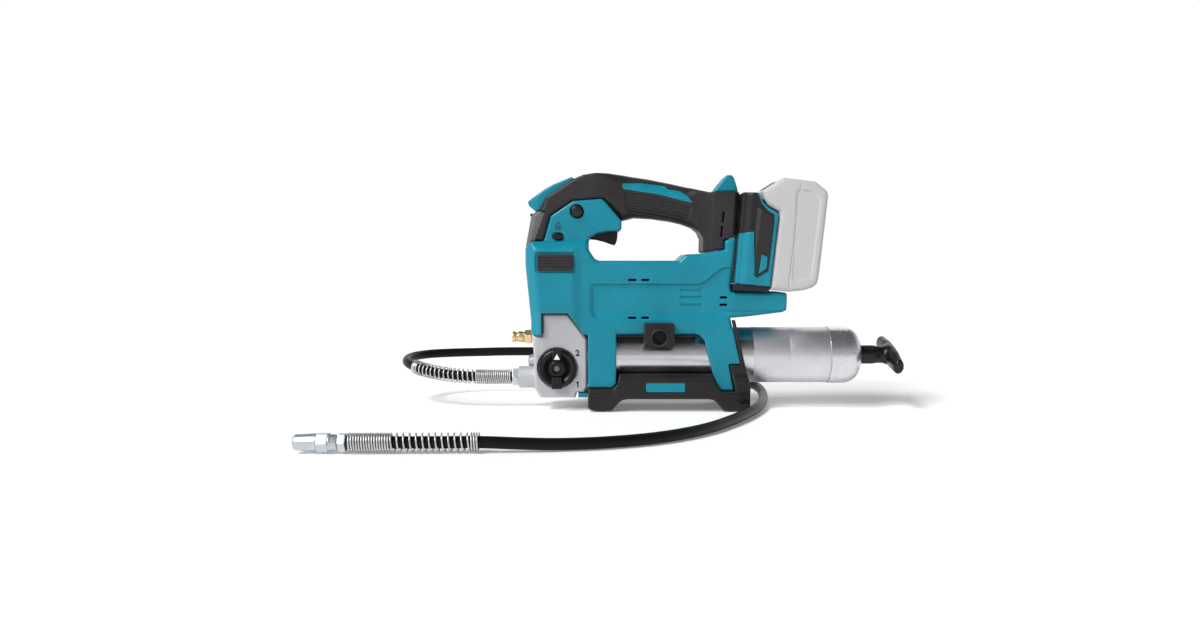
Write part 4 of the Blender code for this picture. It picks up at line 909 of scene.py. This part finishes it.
def dial():
    def knob(x, y, z):
        u = -y
        r = np.hypot(x - DIAL[0], z - DIAL[1])
        dish = 36.4 - 3.4 * (1 - step(r, 8.0, 17.4))
        plate = np.maximum(np.maximum(r - 19.3, 30.3 - u), u - dish)
        plate = both(plate, (r - 19.3 + u - 36.4 + 1.8) * DIAGONAL, 0.4)
        hub = extrude(r - 7.8, np.abs(u - 34), 6.0, 0.9)
        hub = less(hub, extrude(r - 5.4, np.abs(u - 41), 4.4, 0.3), 0.3)
        reach = np.abs(z - DIAL[1] + 0.6) - 19.9
        tab = extrude(np.maximum(np.abs(x - DIAL[0]) - 4.7 + 0.03 * (z - DIAL[1]), reach),
                      np.abs(u - 34), 6.4, 0.9)
        tab = np.maximum(tab, 8.6 - np.abs(z - DIAL[1]))
        solid = np.minimum(np.minimum(plate, hub), tab)
        spool = np.maximum(r - 5.0, np.abs(u - 12.5) - 19.0)
        return np.minimum(solid, spool)
    moulded("dial_knob", knob, (-64, -41.5, 23), (-23, 6.8, 64), 0.5, GLOSS_BLACK,
            body="speed_dial", node="speed_dial")
    y = -40.62
    triangle = [(DIAL[0] - 3.1, y, 52.6), (DIAL[0] + 3.1, y, 52.6), (DIAL[0], y, 58.4)]
    lower = [(a, y + 0.4, c) for a, _, c in triangle]
    put_mark = put("dial_arrow", triangle + lower,
                   [(0, 1, 2), (5, 4, 3), (0, 3, 4, 1), (1, 4, 5, 2), (2, 5, 3, 0)],
                   WHITE, smooth=False)
    dress(put_mark, "speed_dial")
    turned("dial_screw", rounded([(-38.2, 0), (-38.2, 2.6), (-37.4, 3.2), (-36.5, 3.2),
                                  (-36.5, 0)], 0.3), "Y", (DIAL[1], DIAL[0]), NOSE,
           body="speed_dial", sides=24)


def hexagon(name, radius, low, high, centre, look, body="tool", node=None,
            turn=0.0, bore=0.0, chamfer=0.8):
    """A chamfered hex along X with an optional bore, from a distance field."""
    def field(x, y, z):
        a, b = y - centre[0], z - centre[1]
        flat = None
        for k in range(3):
            angle = turn + math.pi * k / 3
            side = np.abs(a * math.cos(angle) + b * math.sin(angle)) - radius
            flat = side if flat is None else np.maximum(flat, side)
        along = np.abs(x - (low + high) / 2) - (high - low) / 2
        round_off = np.hypot(a, b) + along * 1.4 - radius * 1.155 + chamfer
        solid = np.maximum(np.maximum(flat, along), round_off * 0.6)
        if bore:
            solid = np.maximum(solid, bore - np.hypot(a, b))
        return solid
    reach = radius * 1.17
    return moulded(name, field, (low, centre[0] - reach, centre[1] - reach),
                   (high, centre[0] + reach, centre[1] + reach), 0.4, look, body, node)


def fittings():
    hexagon("outlet_hex", 8.4, -91.3, -85.1, (0, 31.0), ZINC,
            node="outlet_fitting", turn=math.pi / 6, bore=2.0)
    brass = (0, 73.0)
    hexagon("bleeder_hex", 6.5, -79.0, -70.9, brass, BRASS, node="bleeder_body",
            turn=0.2, chamfer=1.3)
    turned("bleeder_tip", rounded([(-79.3, 0), (-79.3, 5.3), (-80.6, 5.8), (-85.4, 5.8),
                                   (-86.4, 4.7), (-87.8, 4.7), (-88.2, 5.8), (-91.1, 5.8),
                                   (-91.6, 5.2), (-91.6, 2.2), (-89.6, 2.2), (-89.6, 0)], 0.35),
           "X", brass, BRASS,
           body="bleeder_knob", node="bleeder_knob")
    turned("side_nipple", rounded([(-68.9, 0), (-68.9, 7.1), (-71.4, 7.1), (-72.2, 6.2),
                                   (-74.4, 6.2), (-75.8, 4.4), (-75.8, 0)], 0.5), "X",
           (10, 46.9), CAST, node="grease_nipple")


# ======== the controls ========

def controls():
    outline = [(-11.0, 177.0), (-11.2, 174.8), (-4, 174.0), (3.4, 172.2), (10, 169.9),
               (15.1, 168.3), (17.2, 172.0), (18.1, 176.6), (18.4, 184.0), (-9, 184.6)]

    def trigger(x, y, z):
        return extrude(polygon(outline, x, z, 0.8), np.abs(y), 7.0, 2.0)
    moulded("trigger_lever", trigger, (-12, -7.5, 168), (19, 7.5, 185), 0.45, BLACK,
            body="trigger", node="trigger")
    turned("lock_on_cap", rounded([(-16.5, 0), (-16.5, 6.4), (-25.4, 6.4), (-26.6, 5.2),
                                   (-27.3, 0.01), (-27.3, 0)], 1.0), "Y",
           (BUTTON[1], BUTTON[0]), GLOSS_BLACK, body="lock_on_button", node="lock_on_button")

    def bolt(x, y, z):
        pill = np.hypot(np.maximum(np.abs(x - BOLT[0]) - 1.65, 0), z - BOLT[1]) - 3.3
        return extrude(pill, np.abs(y + 1.6), 25.0, 0.9)
    moulded("lock_off_bar", bolt, (-49, -27, 173), (-37, 24, 181), 0.5, GLOSS_BLACK,
            body="lock_off_bolt", node="lock_off_bolt")


# ======== the barrel ========

def barrel():
    centre = (0, BARREL_Z)
    sleeve_start = 157.2
    turned("barrel_tube", [(-12.0, 27.3), (-12.0, 28.9), (sleeve_start, 28.9),
                           (sleeve_start, 28.4), (239.9, 28.4), (239.9, 27.3)], "X", centre,
           TUBE, body="barrel", node="barrel", sides=128)
    skin = [(sleeve_start + 0.1, 28.5), (sleeve_start + 0.1, 28.95), (194.0, 28.95)]
    skin += [(194.0 + 0.25 * k, 28.95 - 0.13 * math.sin(math.pi * k / 6)) for k in range(1, 6)]
    skin += [(195.7, 28.95), (239.4, 28.95), (239.9, 28.6), (239.9, 28.5)]
    turned("barrel_sleeve", skin, "X", centre, SLEEVE, body="barrel",
           sides=128, sharp=50)
    dome = [(240.3, 27.0), (240.3, 29.1), (236.7, 29.1), (236.7, 29.4), (236.9, 29.6)]
    for k in range(17):
        turn = math.pi / 2 * k / 16
        dome.append((251.8 + 19.0 * math.sin(turn) ** 0.92, 10.2 + 19.4 * math.cos(turn) ** 0.92))
    dome += [(270.8, 4.4), (268.2, 4.4), (267.8, 9.0), (260, 22), (254, 26.0), (232, 26.0),
             (232, 27.0)]
    turned("barrel_dome", dome, "X", centre, DOME, body="barrel",
           node="barrel_cap", sides=128, sharp=40)
    pull_handle()


def pull_handle():
    tilt = math.radians(17)

    def field(x, y, z):
        b = z - BARREL_Z
        r = np.hypot(y, b)
        stem = np.maximum(r - 9.8 + 0.9 * step(x, 284, 292), np.maximum(271.2 - x, x - 300))
        window = block(x, np.abs(y), b, (276.4, 4.8, 4.8), (280.0, 20, 8.6), 0.4)
        second = block(x, np.abs(y), b, (281.4, 4.8, 4.8), (285.8, 20, 8.6), 0.4)
        stem = less(less(stem, window), second)
        along = y * math.cos(tilt) + b * math.sin(tilt)
        across = -y * math.sin(tilt) + b * math.cos(tilt)
        reach = np.abs(along)
        middle = 304.2 - 0.02 * reach
        thick = 6.3 - 0.9 * step(reach, 10, 34)
        tall = 10.4 - 2.8 * step(reach, 10, 38)
        bar = (np.hypot((x - middle) / thick, across / tall) - 1) * 5.6
        bar = both(bar, reach - 36.8, 4.0)
        solid = blend(stem, bar, 5.0)
        solid = np.maximum(solid, x - 310.5)
        return less(solid, np.maximum(r - 4.4, x - 286.3))
    moulded("t_handle", field, (271, -37, 33), (311, 37, 76), 0.65, GLOSS_BLACK,
            body="follower_rod", node="pull_handle")


# ======== the hose ========

HOSE_R = 5.0
COUPLER_Z = 8.3
HOSE_ROUTE = [
    (-91.8, 0, 31), (-110, 0, 31), (-130, 0.3, 31.2), (-148, 2, 32), (-166, 7, 33.6),
    (-182, 15, 35.6), (-196, 26.5, 37.8), (-208, 42, 40.4), (-214, 62, 43), (-210, 83, 45),
    (-196, 102, 46), (-172, 115, 46.3), (-140, 121.5, 46.6), (-100, 124, 47.2),
    (-50, 125, 46.5), (0, 126, 43), (45, 126, 37.5), (90, 124.5, 30.5), (130, 118, 23.5),
    (160, 100, 17.5), (175, 74, 12.5), (177.5, 45, 8.6), (173, 12, 6), (164.5, -25, 5.3),
    (152, -63, 5.3), (136, -101, 5.3), (118, -137, 5.3), (97, -173, 5.3), (71, -205, 5.3),
    (41, -230, 5.3), (6, -247, 5.3), (-31, -256, 5.4), (-62, -260, 6.6), (-92, -262.5, 8.1),
    (-125, -264, COUPLER_Z), (-165, -264.8, COUPLER_Z), (-199, -265, COUPLER_Z)]


def smooth_route(step_length):
    """Points along one smooth curve through the route's own points."""
    knots = [Vector(point) for point in HOSE_ROUTE]
    dense = []
    for i in range(len(knots) - 1):
        before, after = knots[max(i - 1, 0)], knots[min(i + 2, len(knots) - 1)]
        here, there = knots[i], knots[i + 1]
        for k in range(12):
            t = k / 12
            dense.append(0.5 * ((2 * here) + (there - before) * t
                                + (2 * before - 5 * here + 4 * there - after) * t * t
                                + (3 * here - before - 3 * there + after) * t * t * t))
    dense.append(knots[-1])
    result = [dense[0]]
    travelled = 0.0
    for a, b in zip(dense, dense[1:]):
        travelled += (b - a).length
        if travelled >= step_length:
            result.append(b)
            travelled = 0.0
    if (result[-1] - dense[-1]).length > 0.4 * step_length:
        result.append(dense[-1])
    else:
        result[-1] = dense[-1]
    return result


def guard(name, path, node, tight_first, tight_length, wire_r=0.76, coil_r=7.2):
    """A spring guard: tight turns, open turns over the bend, and tight end turns."""
    lengths = [0.0]
    for a, b in zip(path, path[1:]):
        lengths.append(lengths[-1] + (b - a).length)
    total = lengths[-1]
    tight, open_pitch, end_length = 2.05, 5.0, 8.0

    def pitch(s):
        s = s if tight_first else total - s
        if s < tight_length or s > total - end_length:
            return tight
        return open_pitch
    steps = 14
    s, turn = wire_r, 0.0
    points = []
    side = Vector((0, 0, 1))
    index = 0
    while s < total - wire_r:
        while index < len(lengths) - 2 and lengths[index + 1] < s:
            index += 1
        t = (s - lengths[index]) / (lengths[index + 1] - lengths[index])
        middle = path[index].lerp(path[index + 1], t)
        before = path[max(index - 1, 0)]
        after = path[min(index + 2, len(path) - 1)]
        tangent = (after - before).normalized()
        side = (side - tangent * side.dot(tangent)).normalized()
        across = tangent.cross(side)
        points.append(middle + coil_r * (side * math.cos(turn) + across * math.sin(turn)))
        turn += 2 * math.pi / steps
        s += pitch(s) / steps
    return wire(name, points, wire_r, WIRE, node=node)


def hose():
    path = smooth_route(6.0)
    line = wire("hose_line", path, HOSE_R, HOSE, node="hose", smoothness=6)
    inlet = [p for p in smooth_route(3.0) if p.y < 30 and p.x < -80 and p.z > 30]
    outlet = [p for p in smooth_route(3.0) if p.y < -250 and p.x < -90]
    near = guard("inlet_spring", inlet, "hose_guard_inlet", True, 38.0)
    far = guard("outlet_spring", outlet, "hose_guard_outlet", False, 35.0)
    centre = (-265.0, COUPLER_Z)
    end = hexagon("end_hex", 7.0, -205.4, -199.4, centre, ZINC,
            node="hose_end_fitting", turn=math.pi / 2, bore=3.0)
    profile = rounded([(-206.3, 3.0), (-206.3, 6.4), (-211.4, 6.7), (-211.9, 7.2),
                       (-213.0, 7.2), (-213.0, 6.9), (-222.2, 6.9), (-222.2, 7.3),
                       (-223.4, 7.3), (-239.4, 6.4), (-241.0, 5.6), (-241.2, 3.6),
                       (-226, 3.6), (-226, 3.0)], 0.4)
    nose = turned("grease_coupler", profile, "X", centre, ZINC, node="coupler")
    collar = hexagon("coupler_hex", 7.1, -222.0, -213.2, centre, ZINC,
                     turn=math.pi / 2, bore=3.2, chamfer=0.5)


# ======== the kept CAD nodes ========

def inner_looks():
    looks = {STEEL: ["cell_pack", "motor_case", "bearing_front", "bearing_rear", "planet_carrier",
                     "planet_1", "planet_2", "planet_3", "plunger_yoke", "check_ball",
                     "check_spring", "follower_rod", "follower_spring", "housing_screw_1",
                     "housing_screw_2"],
             CAST: ["gearbox_case"], COPPER: ["armature", "terminal_block"],
             BLACK: ["battery_rail", "battery_latch", "cooling_fan", "brush_holder",
                     "switch_body"],
             ELASTOMER: ["follower"], BOARD: ["control_board"]}
    for look, names in looks.items():
        for name in names:
            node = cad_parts[name]
            for item in node.material_slots:
                item.material = look


# ======== floor, light and camera ========

CAMERA_DIP = 2.79132   # degrees below level


def studio():
    bpy.ops.mesh.primitive_plane_add(size=40, location=(0, 0, -0.0004))
    floor = bpy.context.object
    floor.name = "floor"
    look, nodes, links, shader = start_material("floor_paint", (0.9, 0.9, 0.9), 0.7)
    broad = noise(nodes, links, 3.0, 2.0)
    tinted(nodes, links, broad.outputs["Fac"], (0.89, 0.89, 0.895), (0.91, 0.91, 0.91), shader)
    shader.inputs["Specular IOR Level"].default_value = 0.1
    shader.inputs["Emission Color"].default_value = (1, 1, 1, 1)
    shader.inputs["Emission Strength"].default_value = 0.14
    floor.data.materials.append(look)

    world = bpy.data.worlds.new("studio")
    bpy.context.scene.world = world
    world.use_nodes = True
    nodes, links = world.node_tree.nodes, world.node_tree.links
    background = nodes["Background"]
    place = nodes.new("ShaderNodeTexCoord")
    split = nodes.new("ShaderNodeSeparateXYZ")
    links.new(place.outputs["Generated"], split.inputs["Vector"])
    shade = nodes.new("ShaderNodeValToRGB")
    links.new(split.outputs["Z"], shade.inputs["Fac"])
    levels = [(0.0, 1.0), (0.3, 1.0), (0.5, 0.32), (0.8, 0.06)]
    while len(shade.color_ramp.elements) < len(levels):
        shade.color_ramp.elements.new(0.5)
    for element, (position, level) in zip(shade.color_ramp.elements, levels):
        element.position = position
        element.color = (level, level, level * 1.01, 1)
    front = nodes.new("ShaderNodeMapRange")
    front.inputs["From Min"].default_value = 0.0
    front.inputs["From Max"].default_value = 0.5
    front.inputs["To Min"].default_value = 0.46
    front.inputs["To Max"].default_value = 1.02
    links.new(split.outputs["Y"], front.inputs["Value"])
    links.new(front.outputs["Result"], background.inputs["Strength"])
    links.new(shade.outputs["Color"], background.inputs["Color"])

    for name, energy, spread, direction in (("overhead", 2.0, 18, (0.52, 0.30, -0.80)),
                                            ("key", 1.9, 24, (0.55, 0.62, -0.56))):
        lamp = bpy.data.lights.new(name, "SUN")
        lamp.energy = energy
        lamp.angle = math.radians(spread)
        made = linked(name, lamp)
        made.rotation_euler = Vector(direction).to_track_quat("-Z", "Y").to_euler()
    lamp = bpy.data.lights.new("rim", "AREA")
    lamp.energy = 5
    lamp.size = 1.2
    made = linked("rim", lamp)
    made.location = (0.5, 1.5, 1.3)
    aim = Vector((0.03, 0, 0.1)) - made.location
    made.rotation_euler = aim.to_track_quat("-Z", "Y").to_euler()

    camera = bpy.data.cameras.new("camera")
    camera.sensor_width = 36.0
    camera.lens = 30.15
    made = linked("camera", camera)
    made.location = (0.0, -1.05, 0.147)
    made.rotation_euler = (math.radians(90 - CAMERA_DIP), 0, 0)
    bpy.context.scene.camera = made
    bpy.context.scene.view_settings.view_transform = "Standard"


studio()
hose()
housings()
grips()
strap_loops()
side_pads()
base()
coupler_socket()
battery_mount()
battery()
pump()
dial()
fittings()
controls()
barrel()
inner_looks()
